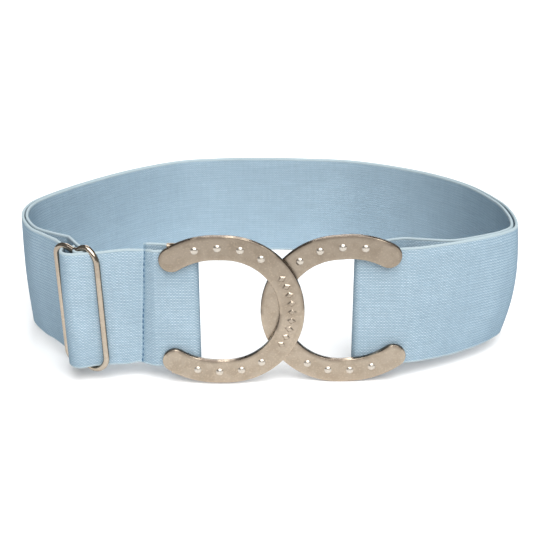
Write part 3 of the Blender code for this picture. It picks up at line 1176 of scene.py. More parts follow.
    def _toe_row(self) -> list[Piece]:
        """The plain row of small raised lozenges along the left toe."""
        long, wide, high = self.lozenge_size
        deselect_all()
        bpy.ops.mesh.primitive_cone_add(vertices=4, radius1=0.5, radius2=self.lozenge_top,
                                        depth=1.0)
        model = named("lozenge")
        model.scale = (wide, long, high * self.lozenge_foot)
        settle(model)
        with editing(model):
            select_whole()
            bpy.ops.mesh.bevel(offset=self.lozenge_edge, segments=2, affect="EDGES")
            face_outwards()
        set_value(model, "polish", lambda place: self.lozenge_polish)
        row = []
        radius = self.sizes.arc_radius
        for i in range(self.lozenges):
            angle = (i - (self.lozenges - 1) / 2) * self.lozenge_pitch / radius
            place = (Matrix.Rotation(angle, 4, "Z")
                     @ Matrix.Translation((radius, 0.0, self.sizes.plate_thick / 2
                                           + self.crown + high * self.lozenge_rise)))
            row.append(copied(model, place))
        bpy.data.objects.remove(model, do_unlink=True)
        return row

    def _outwards(self, place: Vector) -> float:
        """How far a point lies outside the arm's middle line."""
        sizes = self.sizes
        x, y = place.x, abs(place.y)
        if x >= 0:
            return math.hypot(x, y) - sizes.arc_radius
        if x >= -sizes.arm_straight:
            return y - sizes.arc_radius
        centre_y = sizes.arc_radius - sizes.heel_radius
        return math.hypot(x + sizes.arm_straight, y - centre_y) - sizes.heel_radius

    def _rim(self, place: Vector) -> float:
        """How close a point is to the plate's edge, from 0 on the face to 1 at the rim."""
        across = abs(self._outwards(place))
        tip, _ = self._tip()
        if place.x < tip.x:
            across = max(across, (Vector((place.x, abs(place.y))) - tip).length)
        return ramp(*(self.sizes.arm_width / 2 - inwards for inwards in self.rim_band), across)

    def _upper(self, place: Vector) -> float:
        """How close a point is to an edge that faces up once the plate stands."""
        up = place.y if self.side is Side.LEFT else -place.y
        return self._rim(place) if self._outwards(place) * up > 0 else 0.0

    def _stand(self, plate: Piece) -> None:
        """Stands the plate up to face the front, at its place in the buckle."""
        sizes = self.sizes
        if self.side is Side.LEFT:
            turn, x, y = 0.0, sizes.left_centre_x, sizes.left_face_y
            z = sizes.arc_outer + sizes.left_raise
        else:
            turn, x, y = math.pi - sizes.right_tilt, sizes.right_centre_x, sizes.right_face_y
            z = sizes.arc_outer
        plate.rotation_euler = (math.radians(90), turn, 0.0)
        plate.location = (x, y + sizes.plate_thick / 2, z)
        settle(plate)


@dataclass
class Bail:
    """The bent wire behind a plate that the strip is folded round, with its solder."""

    sizes: BeltSizes
    side: Side
    leg_room: float = 0.0006
    corner: float = 0.0026
    slant: float = 0.0045
    sink: float = 0.0005
    left_leg_at: float = 0.94
    right_leg_at: float = 0.69
    bead_back: float = 0.0034
    bead_radius: float = 0.0022
    bead_form: Triple = (1.25, 0.62, 0.84)
    bead_sink: float = 0.0002

    def build(self) -> Piece:
        """Bends the wire.

        Returns:
            The bail with a bead of solder on each leg.
        """
        sizes = self.sizes
        left = self.side is Side.LEFT
        bar_x = sizes.left_bar_x if left else sizes.right_bar_x
        bar_y = sizes.left_bar_y if left else sizes.right_bar_y
        centre_x = sizes.left_centre_x if left else sizes.right_centre_x
        face_y = sizes.left_face_y if left else sizes.right_face_y
        share = self.left_leg_at if left else self.right_leg_at
        way = self.side.value
        edge = sizes.heel_radius + sizes.arm_width / 2
        leg_x = centre_x + way * (sizes.arm_straight + edge * math.sin(share * sizes.heel_turn))
        leg_y = face_y + sizes.plate_thick + sizes.bail_wire / 2 - self.sink
        middle = sizes.middle_height(bar_y)
        reach = sizes.strap_width / 2 + self.leg_room + sizes.bail_wire / 2
        leg = [(leg_x, leg_y), (bar_x + way * self.slant, leg_y), (bar_x, bar_y)]
        points = [Vector((x, y, middle - reach)) for x, y in leg]
        points += [Vector((x, y, middle + reach)) for x, y in reversed(leg)]
        corners = [Corner(point, self.corner) for point in points]
        name = f"{self.side.name.lower()}_bail"
        wire = BentWire(name, corners, sizes.bail_wire).build()
        beads = [self._solder(leg_x - way * self.bead_back, face_y + sizes.plate_thick, z)
                 for z in (middle - reach, middle + reach)]
        return joined([wire, *beads])

    def _solder(self, x: float, back_y: float, z: float) -> Piece:
        """A flat bead of solder on the plate's back, round the end of a leg."""
        deselect_all()
        bpy.ops.mesh.primitive_uv_sphere_add(segments=24, ring_count=12,
                                             radius=self.bead_radius, location=(x, back_y, z))
        bead = named("solder")
        bead.scale = self.bead_form
        settle(bead)
        with editing(bead):
            select_whole()
            bpy.ops.mesh.bisect(plane_co=(x, back_y - self.bead_sink, z),
                                plane_no=(0.0, 1.0, 0.0), use_fill=True, clear_inner=True)
            face_outwards()
        turn_outwards(bead)
        smooth(bead)
        return bead


@dataclass
class ToeHook:
    """The plain hook behind the left toe, which catches the right toe."""

    sizes: BeltSizes
    thick: float = 0.0020
    post: float = 0.0040
    reach: float = 0.0085
    height: float = 0.0100
    room: float = 0.0004
    round_edge: float = 0.0004

    def build(self) -> Piece:
        """Makes the hook: a post that goes back past the toe, and a tongue across it.

        Returns:
            The hook.
        """
        sizes = self.sizes
        inner = sizes.arc_outer - sizes.arm_width
        toe_x = sizes.right_centre_x - math.sqrt(inner ** 2 - (self.height / 2) ** 2)
        post_x = toe_x + self.room
        tongue_y = sizes.right_face_y + sizes.plate_thick + self.room
        root_y = sizes.left_face_y + sizes.plate_thick / 2
        deselect_all()
        bpy.ops.mesh.primitive_cube_add(
            size=1.0, location=(post_x + self.post / 2, (root_y + tongue_y) / 2, sizes.arc_outer),
            scale=(self.post, tongue_y - root_y, self.height))
        hook = named("toe_hook")
        settle(hook)
        with editing(hook, "FACE"):
            pick_faces(hook, lambda middle, normal: normal.y > FACING)
            extrude((0.0, self.thick, 0.0))
            pick_faces(hook, lambda middle, normal: normal.x < -FACING and middle.y > tongue_y)
            extrude((-self.reach, 0.0, 0.0))
            select_whole()
            bpy.ops.mesh.normals_make_consistent(inside=False)
        edge = hook.modifiers.new("edge", "BEVEL")
        edge.width = self.round_edge
        edge.segments = 3
        edge.angle_limit = math.radians(50)
        take(hook)
        bpy.ops.object.modifier_apply(modifier=edge.name)
        turn_outwards(hook)
        smooth(hook)
        return hook


# Slide


@dataclass
class WireSlide:
    """The wire slide: a ring whose short sides dip to the middle bar, brazed to it."""

    sizes: BeltSizes
    feet: tuple[float, float] = (-0.0312, 0.0292)
    bead_share: float = 0.56
    bead_form: Triple = (1.35, 1.0, 1.0)
    corners: tuple[Triple, ...] = (
        (-1.0, -0.0302, 0.0050), (-1.0, 0.0302, 0.0046), (-0.42, 0.0299, 0.0050),
        (-0.02, 0.0280, 0.0030), (0.44, 0.0318, 0.0050), (1.0, 0.0292, 0.0085),
        (1.0, -0.0330, 0.0078), (0.30, -0.0320, 0.0040), (-0.20, -0.0303, 0.0060),
    )

    def build(self) -> Piece:
        """Bends the ring and sets the bar in it.

        Returns:
            The slide.
        """
        corners = [Corner(self._place(share, height), radius)
                   for share, height, radius in self.corners]
        ring = BentWire("wire_slide", corners, self.sizes.slide_ring, closed=True).build()
        bar_line = [Corner(self._place(0.0, height), 0.0) for height in self.feet]
        bar = BentWire("slide_bar", bar_line, self.sizes.slide_wire).build()
        beads = [self._braze(self._place(0.0, height)) for height in self.feet]
        return joined([ring, bar, *beads])

    def _place(self, share: float, height: float) -> Vector:
        """A place in the leaning slide.

        Args:
            share: Share of half the slide's width, from its middle.
            height: Height over the strip's middle line.

        Returns:
            The place in the frame.
        """
        sizes = self.sizes
        along = share * sizes.slide_span / 2 + sizes.slide_shift + sizes.slide_lean * height
        return Vector((*sizes.slide_point(along),
                       sizes.middle_height(sizes.slide_y) + height))

    def _braze(self, place: Vector) -> Piece:
        """The small bead where the bar meets the ring."""
        deselect_all()
        bpy.ops.mesh.primitive_ico_sphere_add(
            subdivisions=3, radius=self.sizes.slide_wire * self.bead_share, location=place,
            rotation=(0.0, 0.0, self.sizes.slide_turn))
        bead = named("braze")
        bead.scale = self.bead_form
        settle(bead)
        turn_outwards(bead)
        smooth(bead)
        return bead


# Finishes


@dataclass
class NodeDesk:
    """A node tree that is being filled, with short ways to place and link nodes."""

    tree: bpy.types.NodeTree

    def fill(self, node: bpy.types.Node, inputs: dict[str | int, object]) -> None:
        """Links sockets to a node's inputs, or writes numbers and colours into them.

        Args:
            node: The node.
            inputs: Each input's name or number, with a socket, a number or a colour.
        """
        for label, value in inputs.items():
            socket = node.inputs[label]
            if isinstance(value, Socket):
                self.tree.links.new(value, socket)
            elif socket.type == "RGBA":
                socket.default_value = (*value, 1.0)
            else:
                socket.default_value = value

    def add(self, kind: str, inputs: dict[str | int, object] | None = None,
            **settings: object) -> bpy.types.Node:
        """Places a node.

        Args:
            kind: The node's type name.
            inputs: What goes into its inputs.
            **settings: Properties of the node.

        Returns:
            The node.
        """
        node = self.tree.nodes.new(kind)
        for key, value in settings.items():
            setattr(node, key, value)
        self.fill(node, inputs or {})
        return node

    def use(self, group: bpy.types.NodeTree, *values: object) -> bpy.types.Node:
        """Places a node group.

        Args:
            group: The group.
            *values: What goes into its inputs, in their order.

        Returns:
            The group's node.
        """
        return self.add("ShaderNodeGroup", dict(enumerate(values)), node_tree=group)

    def math(self, operation: str, *values: object) -> Socket:
        """A Math node.

        Args:
            operation: What it works out.
            *values: Its inputs, each a socket or a number.

        Returns:
            Its output.
        """
        return self.add("ShaderNodeMath", dict(enumerate(values)), operation=operation).outputs[0]

    def product(self, first: object, second: object) -> Socket:
        """Two values multiplied."""
        return self.math("MULTIPLY", first, second)

    def plus(self, base: object, value: Socket, share: float) -> Socket:
        """A base with a share of a value added to it."""
        return self.math("MULTIPLY_ADD", value, share, base)

    def mix(self, share: object, first: object, second: object) -> Socket:
        """A colour mix.

        Args:
            share: A socket or number, 0 for the first colour and 1 for the second.
            first: A colour or socket.
            second: A colour or socket.

        Returns:
            The mixed colour.
        """
        inputs = {0: share, 6: first, 7: second}
        return self.add("ShaderNodeMix", inputs, data_type="RGBA").outputs[2]

    def layered(self, tone: object, *layers: tuple[Socket, float, Triple]) -> Socket:
        """A colour with others laid over it.

        Args:
            tone: The colour below.
            *layers: Each layer's mask, how much of the colour below it covers, and its colour.

        Returns:
            What shows on top.
        """
        for mask, share, colour in layers:
            tone = self.mix(self.product(mask, share), tone, colour)
        return tone

    def times(self, first: Socket, second: Socket) -> Socket:
        """Two colours multiplied."""
        return self.add("ShaderNodeVectorMath", {0: first, 1: second},
                        operation="MULTIPLY").outputs[0]

    def scaled(self, tone: Socket, factor: Socket) -> Socket:
        """A colour made lighter or darker by a factor."""
        return self.add("ShaderNodeVectorMath", {0: tone, "Scale": factor},
                        operation="SCALE").outputs[0]

    def step(self, value: Socket, low: float, high: float) -> Socket:
        """A smooth step of a value from 0 at low to 1 at high."""
        inputs = {"Value": value, "From Min": low, "From Max": high}
        return self.add("ShaderNodeMapRange", inputs,
                        interpolation_type="SMOOTHSTEP").outputs["Result"]

    def place(self) -> Socket:
        """The place on the object, which is the place in the frame."""
        return self.add("ShaderNodeTexCoord").outputs["Object"]

    def facing(self, blend: float) -> Socket:
        """How far the surface turns away from the eye."""
        return self.add("ShaderNodeLayerWeight", {"Blend": blend}).outputs["Facing"]

    def written(self, name: str) -> Socket:
        """A value that was written at the vertices, 0 where the piece has none."""
        return self.add("ShaderNodeAttribute", attribute_name=name).outputs["Fac"]

    def relief(self, height: Socket, distance: float, strength: float = 1.0) -> Socket:
        """The normal of a fine relief."""
        inputs = {"Strength": strength, "Distance": distance, "Height": height}
        return self.add("ShaderNodeBump", inputs).outputs["Normal"]


def new_group(name: str, numbers: dict[str, float],
              outputs: Sequence[str]) -> tuple[NodeDesk, bpy.types.Node, bpy.types.Node]:
    """An empty shader node group that takes a vector and numbers and gives values.

    Args:
        name: The group's name.
        numbers: Each number that goes in, with its default.
        outputs: Names of the values that come out.

    Returns:
        The desk, the input node and the output node.
    """
    tree = bpy.data.node_groups.new(name, "ShaderNodeTree")
    tree.interface.new_socket("Vector", in_out="INPUT", socket_type="NodeSocketVector")
    for label, default in numbers.items():
        socket = tree.interface.new_socket(label, in_out="INPUT", socket_type="NodeSocketFloat")
        socket.default_value = default
    for label in outputs:
        tree.interface.new_socket(label, in_out="OUTPUT", socket_type="NodeSocketFloat")
    desk = NodeDesk(tree)
    return desk, desk.add("NodeGroupInput"), desk.add("NodeGroupOutput")


def new_material(name: str) -> tuple[bpy.types.Material, NodeDesk, bpy.types.Node]:
    """A plain material.

    Args:
        name: The material's name.

    Returns:
        The material, the desk for its nodes, and its shader.
    """
    made = bpy.data.materials.new(name)
    made.use_nodes = True
    return made, NodeDesk(made.node_tree), made.node_tree.nodes["Principled BSDF"]


def mottle_group() -> bpy.types.NodeTree:
    """Three sizes of soft noise: patches, spots between them, and a fine grain.

    Returns:
        The group, with a Vector and the scales in, and Patches, Spots and Grain out.
    """
    desk, given, result = new_group(
        "mottle", {"Patch Scale": 60.0, "Spot Scale": 300.0, "Grain Scale": 900.0},
        ("Patches", "Spots", "Grain"))
    for label, scale, detail in (("Patches", "Patch Scale", 3.0), ("Spots", "Spot Scale", 2.0),
                                 ("Grain", "Grain Scale", 5.0)):
        noise = desk.add("ShaderNodeTexNoise", {
            "Vector": given.outputs["Vector"], "Scale": given.outputs[scale], "Detail": detail})
        desk.fill(result, {label: noise.outputs["Fac"]})
    return desk.tree


@dataclass(frozen=True)
class RibWeave:
    """Fine ribs along a strip: rows of small loops that lean to and fro, each shifted by half.

    Broader plain ribs take the loops' place where the cloth is stretched.
    """

    wander: float = 0.0012
    wander_scale: float = 130.0
    row_shift: float = 0.5
    lean: float = 0.65
    rib_power: float = 0.7
    loop_height: float = 0.62
    odd_drop: float = 0.16
    broad_height: float = 0.70
    broad_loop: float = 0.18
    tips: tuple[float, float] = (0.50, 0.95)
    streak_stretch: float = 0.10
    streak_scale: float = 620.0
    streak_detail: float = 3.0

    def group(self) -> bpy.types.NodeTree:
        """Builds the group.

        Returns:
            The group. A UV vector in metres, two pitches and the share of broad ribs go in;
            Height, Tips and the streaks along and across the strip come out.
        """
        desk, given, result = new_group(
            "rib_weave", {"Rib Pitch": 0.0008, "Loop Pitch": 0.0016, "Ribbed": 0.0},
            ("Height", "Tips", "Streaks", "Upright"))
        vector, ribbed = given.outputs["Vector"], given.outputs["Ribbed"]
        parts = desk.add("ShaderNodeSeparateXYZ", {0: vector}).outputs
        wander = desk.add("ShaderNodeTexNoise", {"Scale": self.wander_scale, "Vector": vector})
        sway = desk.plus(parts["Y"], wander.outputs["Fac"], self.wander)
        across = desk.math("DIVIDE", sway, given.outputs["Rib Pitch"])
        odd = desk.math("PINGPONG", desk.math("FLOOR", across), 1.0)
        loops = desk.math("DIVIDE", parts["X"], given.outputs["Loop Pitch"])
        slant = desk.product(desk.math("SUBTRACT", desk.math("FRACT", across), 0.5),
                             desk.plus(-self.lean, odd, 2 * self.lean))
        along = desk.math("ADD", desk.plus(loops, odd, self.row_shift), slant)
        loop = self._humps(desk, along, math.pi)
        rib = desk.math("POWER", self._humps(desk, across, math.pi), self.rib_power)
        knit = desk.product(rib, desk.plus(1 - self.loop_height, loop, self.loop_height))
        knit = desk.product(knit, desk.plus(1.0, odd, -self.odd_drop))
        broad = desk.product(self._humps(desk, across, math.pi / 2),
                             desk.plus(self.broad_height, loop, self.broad_loop))
        height = desk.math("ADD", desk.product(knit, desk.math("SUBTRACT", 1.0, ribbed)),
                           desk.product(broad, ribbed))
        desk.fill(result, {"Height": height, "Tips": desk.step(height, *self.tips)})
        for label, long_way, short_way, source in (("Streaks", "X", "Y", sway),
                                                   ("Upright", "Y", "X", parts["X"])):
            drawn = desk.product(parts[long_way], self.streak_stretch)
            drawn_out = desk.add("ShaderNodeCombineXYZ", {long_way: drawn, short_way: source})
            streak = desk.add("ShaderNodeTexNoise", {
                "Scale": self.streak_scale, "Detail": self.streak_detail,
                "Vector": drawn_out.outputs[0]})
            desk.fill(result, {label: streak.outputs["Fac"]})
        return desk.tree

    @staticmethod
    def _humps(desk: NodeDesk, value: Socket, turn: float) -> Socket:
        """Humps from 0 to 1 along a value, one for each half turn."""
        return desk.math("ABSOLUTE", desk.math("SINE", desk.product(value, turn)))


@dataclass(frozen=True)
class ElasticFinish:
    """Pale blue knitted elastic with paler selvedges. Light and shade are painted in: painted shade in
    the sewn groove and where the cloth turns from view, and a painted highlight on the ridge beside
    the seam.
    """

    groups: dict[str, bpy.types.NodeTree]
    strip_half: float
    yarn: Triple = (0.385, 0.485, 0.555)
    light_yarn: Triple = (0.58, 0.675, 0.735)
    gap: Triple = (0.175, 0.268, 0.342)
    selvedge: Triple = (0.40, 0.48, 0.505)
    # Painted shade in the sewn groove.
    painted_groove_shade: Triple = (0.13, 0.25, 0.35)
    upright: Triple = (1.0, 1.0, 1.0)
    # Painted shade: the colour is dimmed towards this tint where the cloth turns away from the eye.
    painted_grazing_shade: Triple = (0.54, 0.64, 0.71)
    view_blend: float = 0.45
    mottle_scales: Triple = (40.0, 420.0, 1900.0)
    selvedge_width: float = 0.0011
    selvedge_fade: tuple[float, float] = (1.2, 0.6)
    selvedge_cover: float = 0.8
    groove_shade_cover: float = 0.45
    # Painted highlight on the ridge beside the seam, in the light yarn's colour.
    ridge_highlight_cover: float = 0.25
    rib_pitch: float = 0.00073
    loop_pitch: float = 0.00148
    side_ribs: float = 0.46
    back_ribs: float = 0.30
    back_calm: float = 0.50
    calm_height: float = 0.54
    ribbed_sides: tuple[float, float] = (0.088, 0.110)
    ribbed_back: tuple[float, float] = (-0.060, -0.020)
    tips_by_spots: tuple[float, float] = (0.25, 0.60)
    tips_by_patches: tuple[float, float] = (0.35, 0.65)
    least_tips: float = 0.36
    patchy_tips: float = 0.40
    least_shade: float = 0.70
    grain_shade: float = 0.20
    streak_shade: float = 0.20
    upright_shade: float = 0.16
    patch_shade: float = 0.10
    roughness: float = 0.80
    grain_rough: float = 0.12
    bump: float = 0.00018
    bump_strength: float = 0.75
    grain_height: float = 0.35
    sheen: float = 0.03
    sheen_rough: float = 0.45
    gloss: float = 0.20

    def material(self) -> bpy.types.Material:
        """Builds the material.

        Returns:
            The elastic's material, which reads the strip's own UV map.
        """
        made, desk, shader = new_material("pale_blue_elastic")
        flat = desk.add("ShaderNodeUVMap", uv_map="strip").outputs["UV"]
        place = desk.add("ShaderNodeSeparateXYZ", {0: desk.place()}).outputs
        behind = desk.step(place["Y"], *self.ribbed_back)
        sides = desk.step(desk.math("ABSOLUTE", place["X"]), *self.ribbed_sides)
        ribbed = desk.math("MAXIMUM", desk.product(sides, self.side_ribs),
                           desk.product(behind, self.back_ribs))
        weave = desk.use(self.groups["rib_weave"], flat, self.rib_pitch, self.loop_pitch,
                         ribbed).outputs
        mottle = desk.use(self.groups["mottle"], flat, *self.mottle_scales).outputs
        calm = desk.product(behind, self.back_calm)
        lively = desk.math("SUBTRACT", 1.0, calm)
        depth = desk.plus(desk.product(weave["Height"], lively), calm, self.calm_height)
        tips = desk.product(weave["Tips"], desk.step(mottle["Spots"], *self.tips_by_spots))
        patchy = desk.plus(self.least_tips, desk.step(mottle["Patches"], *self.tips_by_patches),
                           self.patchy_tips)
        tips = desk.product(desk.product(tips, lively), patchy)
        tone = desk.mix(tips, desk.mix(depth, self.gap, self.yarn), self.light_yarn)
        shade = self.least_shade
        for value, share in ((mottle["Grain"], self.grain_shade),
                             (weave["Streaks"], self.streak_shade),
                             (weave["Upright"], self.upright_shade),
                             (mottle["Patches"], self.patch_shade)):
            shade = desk.plus(shade, value, share)
        # Painted shade: darker and bluer where the cloth faces away from the eye, standing in for the
        # dimmer light on the belt's sides.
        painted_side_shade = desk.mix(desk.facing(self.view_blend), self.upright, self.painted_grazing_shade)
        across = desk.add("ShaderNodeSeparateXYZ", {0: flat}).outputs["Y"]
        edge = desk.step(desk.math("ABSOLUTE", across),
                         *(self.strip_half - self.selvedge_width * share
                           for share in self.selvedge_fade))
        # Laid over: the paler selvedges, the painted shade in the sewn groove and the painted
        # highlight on the ridge beside it.
        tone = desk.layered(
            desk.times(desk.scaled(tone, shade), painted_side_shade),
            (edge, self.selvedge_cover, self.selvedge),
            (desk.written("painted_groove_shade"), self.groove_shade_cover, self.painted_groove_shade),
            (desk.written("ridge"), self.ridge_highlight_cover, self.light_yarn))
        height = desk.plus(weave["Height"], mottle["Grain"], self.grain_height)
        desk.fill(shader, {
            "Base Color": tone,
            "Roughness": desk.plus(self.roughness, mottle["Grain"], self.grain_rough),
            "Normal": desk.relief(height, self.bump, self.bump_strength),
            "Sheen Weight": self.sheen,
            "Sheen Roughness": self.sheen_rough,
            "Specular IOR Level": self.gloss,
        })
        return made


@dataclass(frozen=True)
class MetalFinish:
    """Satin or bright plated metal: warm rims and handling marks. Light and shade are painted in:
    lighter low down and darker high up, painted shade on edges that face up, and painted shade on the
    wire where it turns from view.
    """

    groups: dict[str, bpy.types.NodeTree]
    name: str
    face: Triple
    rim: Triple
    tarnish: Triple
    roughness: float
    edge_shade: float = 0.0
    polished: Triple = (0.60, 0.55, 0.48)
    # Painted shade on edges that face up, as if they mirrored a dark ceiling.
    painted_upper_shade: Triple = (0.12, 0.095, 0.075)
    mottle_scales: Triple = (70.0, 260.0, 1100.0)
    worn_at: tuple[float, float] = (0.40, 0.64)
    spots_at: tuple[float, float] = (0.42, 0.66)
    flecks_at: tuple[float, float] = (0.52, 0.66)
    upper_shade_at: tuple[float, float] = (0.62, 0.50)
    mark_cover: float = 0.20
    fleck_cover: float = 0.45
    rim_cover: float = 0.30
    upper_shade_cover: float = 0.95
    polish_cover: float = 0.9
    # Painted light and shade: the colour is scaled lighter low down and darker high up.
    fade_start: float = 0.030
    fade_end: float = 0.078
    painted_light_low: float = 1.13
    painted_shade_high: float = 0.80
    view_blend: float = 0.35
    grain_rough: float = 0.10
    spot_rough: float = 0.07
    rim_rough: float = -0.08
    polish_rough: float = -0.05
    grain_bump: float = 0.000012
    bump_strength: float = 0.5

    def material(self) -> bpy.types.Material:
        """Builds the material.

        Returns:
            The metal, which reads the values rim, upper and polish where a piece has them.
        """
        made, desk, shader = new_material(self.name)
        place = desk.place()
        mottle = desk.use(self.groups["mottle"], place, *self.mottle_scales).outputs
        spots = desk.step(mottle["Spots"], *self.spots_at)
        tone = desk.layered(
            self.face,
            (desk.step(mottle["Patches"], *self.worn_at), self.mark_cover, self.tarnish),
            (spots, self.mark_cover, self.tarnish),
            (desk.step(mottle["Grain"], *self.flecks_at), self.fleck_cover, self.rim))
        # Painted light and shade by height: lighter near the floor, darker towards the top.
        painted_height_light = desk.add("ShaderNodeMapRange", {
            "Value": desk.add("ShaderNodeSeparateXYZ", {0: place}).outputs["Z"],
            "From Min": self.fade_start, "From Max": self.fade_end,
            "To Min": self.painted_light_low, "To Max": self.painted_shade_high})
        rim, polish = desk.written("rim"), desk.written("polish")
        # Painted shade: edges that face up are darkened in patches, as if mirroring a dark ceiling.
        upper_shade_mask = desk.product(desk.written("upper"), desk.step(mottle["Patches"], *self.upper_shade_at))
        tone = desk.layered(
            desk.scaled(tone, painted_height_light.outputs["Result"]),
            (rim, self.rim_cover, self.rim),
            (upper_shade_mask, self.upper_shade_cover, self.painted_upper_shade),
            (polish, self.polish_cover, self.polished))
        edge = desk.plus(1.0, desk.facing(self.view_blend), -self.edge_shade)
        rough = self.roughness - self.grain_rough / 2
        for value, share in ((mottle["Grain"], self.grain_rough), (spots, self.spot_rough),
                             (rim, self.rim_rough), (polish, self.polish_rough)):
            rough = desk.plus(rough, value, share)
        desk.fill(shader, {
            "Base Color": desk.scaled(tone, edge),
            "Roughness": rough,
            "Normal": desk.relief(mottle["Grain"], self.grain_bump, self.bump_strength),
            "Metallic": 1.0,
        })
        return made


@dataclass(frozen=True)
class ThreadFinish:
    """Blue sewing thread with its twist."""

    groups: dict[str, bpy.types.NodeTree]
    light: Triple = (0.06, 0.17, 0.30)
    dark: Triple = (0.02, 0.08, 0.16)
    patch_scale: float = 400.0
    twist_scale: float = 900.0
    twist_sway: float = 1.5
    bump: float = 0.00005
    roughness: float = 0.55
    grain_rough: float = 0.2

    def material(self) -> bpy.types.Material:
        """Builds the material.

        Returns:
            The thread's material.
        """
        made, desk, shader = new_material("blue_thread")
        place = desk.place()
        twist = desk.add("ShaderNodeTexWave", {
            "Scale": self.twist_scale, "Distortion": self.twist_sway, "Vector": place},
            bands_direction="DIAGONAL").outputs["Fac"]
        mottle = desk.use(self.groups["mottle"], place, self.patch_scale).outputs
        desk.fill(shader, {
            "Base Color": desk.mix(desk.product(twist, mottle["Patches"]), self.dark, self.light),
            "Normal": desk.relief(twist, self.bump),
            "Roughness": desk.plus(self.roughness, mottle["Grain"], self.grain_rough),
        })
        return made


# Studio


@dataclass(frozen=True)
class SoftLight:
    """A square white area light that looks at the belt."""

    name: str
    place: Triple
    size: float
    power: float


@dataclass
class Studio:
    """The pale floor, the soft lights and the camera."""

    camera_place: Triple = (0.0047, -0.5312, 0.2468)
    camera_yaw: float = math.radians(-0.314)
    camera_pitch: float = math.radians(22.881)
    camera_roll: float = math.radians(-0.058)
    focal_pixels: float = 1029.6
    sensor_width: float = 36.0
    clip_start: float = 0.01
    world_strength: float = 0.22
    floor_size: float = 8.0
    floor_drop: float = 0.00005
    floor_tone: Triple = (0.96, 0.96, 0.96)
    floor_rough: float = 0.9
    floor_gloss: float = 0.1
    ceiling_strength: float = 4.2
    ceiling_spread: float = math.radians(60)
    ceiling_place: Triple = (0.30, -1.00, 1.60)
    ceiling_aim: Triple = (0.0, 0.0, 0.0)
    light_aim: Triple = (0.0, 0.0, 0.03)
    lights: tuple[SoftLight, ...] = (
        SoftLight("left_box", (-0.22, -0.75, 0.10), 0.08, 0.10),
        SoftLight("right_box", (0.26, -0.78, 0.10), 0.08, 0.10),
        SoftLight("back_box", (0.0, 1.00, 0.75), 0.60, 5.60),
    )

    def build(self) -> None:
        """Makes the floor, the lights and the camera."""
        self._floor()
        self._world()
        self._ceiling()
        for light in self.lights:
            self._light(light)
        self._camera()

    def _floor(self) -> None:
        """The plain pale floor, a hair under the belt."""
        deselect_all()
        bpy.ops.mesh.primitive_plane_add(size=self.floor_size,
                                         location=(0.0, 0.0, -self.floor_drop))
        floor = named("floor")
        made, desk, shader = new_material("pale_floor")
        desk.fill(shader, {"Base Color": self.floor_tone, "Roughness": self.floor_rough,
                           "Specular IOR Level": self.floor_gloss})
        floor.data.materials.append(made)

    def _world(self) -> None:
        """Even white light from all round."""
        world = bpy.data.worlds.new("soft_room")
        world.use_nodes = True
        NodeDesk(world.node_tree).fill(world.node_tree.nodes["Background"], {
            "Color": (1.0, 1.0, 1.0), "Strength": self.world_strength})
        bpy.context.scene.world = world
        bpy.context.scene.view_settings.view_transform = "Standard"

    @staticmethod
    def _hang(data: bpy.types.Light, place: Triple, aim: Triple) -> None:
        """Hangs a light at a place, turned to a point."""
        lamp = linked(data.name, data)
        lamp.location = place
        turn = (Vector(aim) - Vector(place)).to_track_quat("-Z", "Y")
        lamp.rotation_euler = turn.to_euler()

    def _ceiling(self) -> None:
        """One broad even light from above and a little in front."""
        data = bpy.data.lights.new("ceiling", "SUN")
        data.energy = self.ceiling_strength
        data.angle = self.ceiling_spread
        self._hang(data, self.ceiling_place, self.ceiling_aim)

    def _light(self, light: SoftLight) -> None:
        """One area light, turned to the belt."""
        data = bpy.data.lights.new(light.name, "AREA")
        data.size = light.size
        data.energy = light.power
        self._hang(data, light.place, self.light_aim)

    def _camera(self) -> None:
        """The camera at the photograph's place and angle."""
        yaw, pitch, roll = self.camera_yaw, self.camera_pitch, self.camera_roll
        ahead = Vector((math.sin(yaw) * math.cos(pitch), math.cos(yaw) * math.cos(pitch),
                        -math.sin(pitch)))
        right = Vector((math.cos(yaw), -math.sin(yaw), 0.0))
        up = right.cross(ahead)
        rolled_right = right * math.cos(roll) + up * math.sin(roll)
        rolled_up = up * math.cos(roll) - right * math.sin(roll)
        data = bpy.data.cameras.new("camera")
        data.sensor_width = self.sensor_width
        data.lens = self.sensor_width * self.focal_pixels / PHOTO_PIXELS
        data.clip_start = self.clip_start
        camera = linked("camera", data)
        camera.location = self.camera_place
        turn = Matrix((rolled_right, rolled_up, -ahead)).transposed()
        camera.rotation_euler = turn.to_euler()
        bpy.context.scene.camera = camera


# The belt


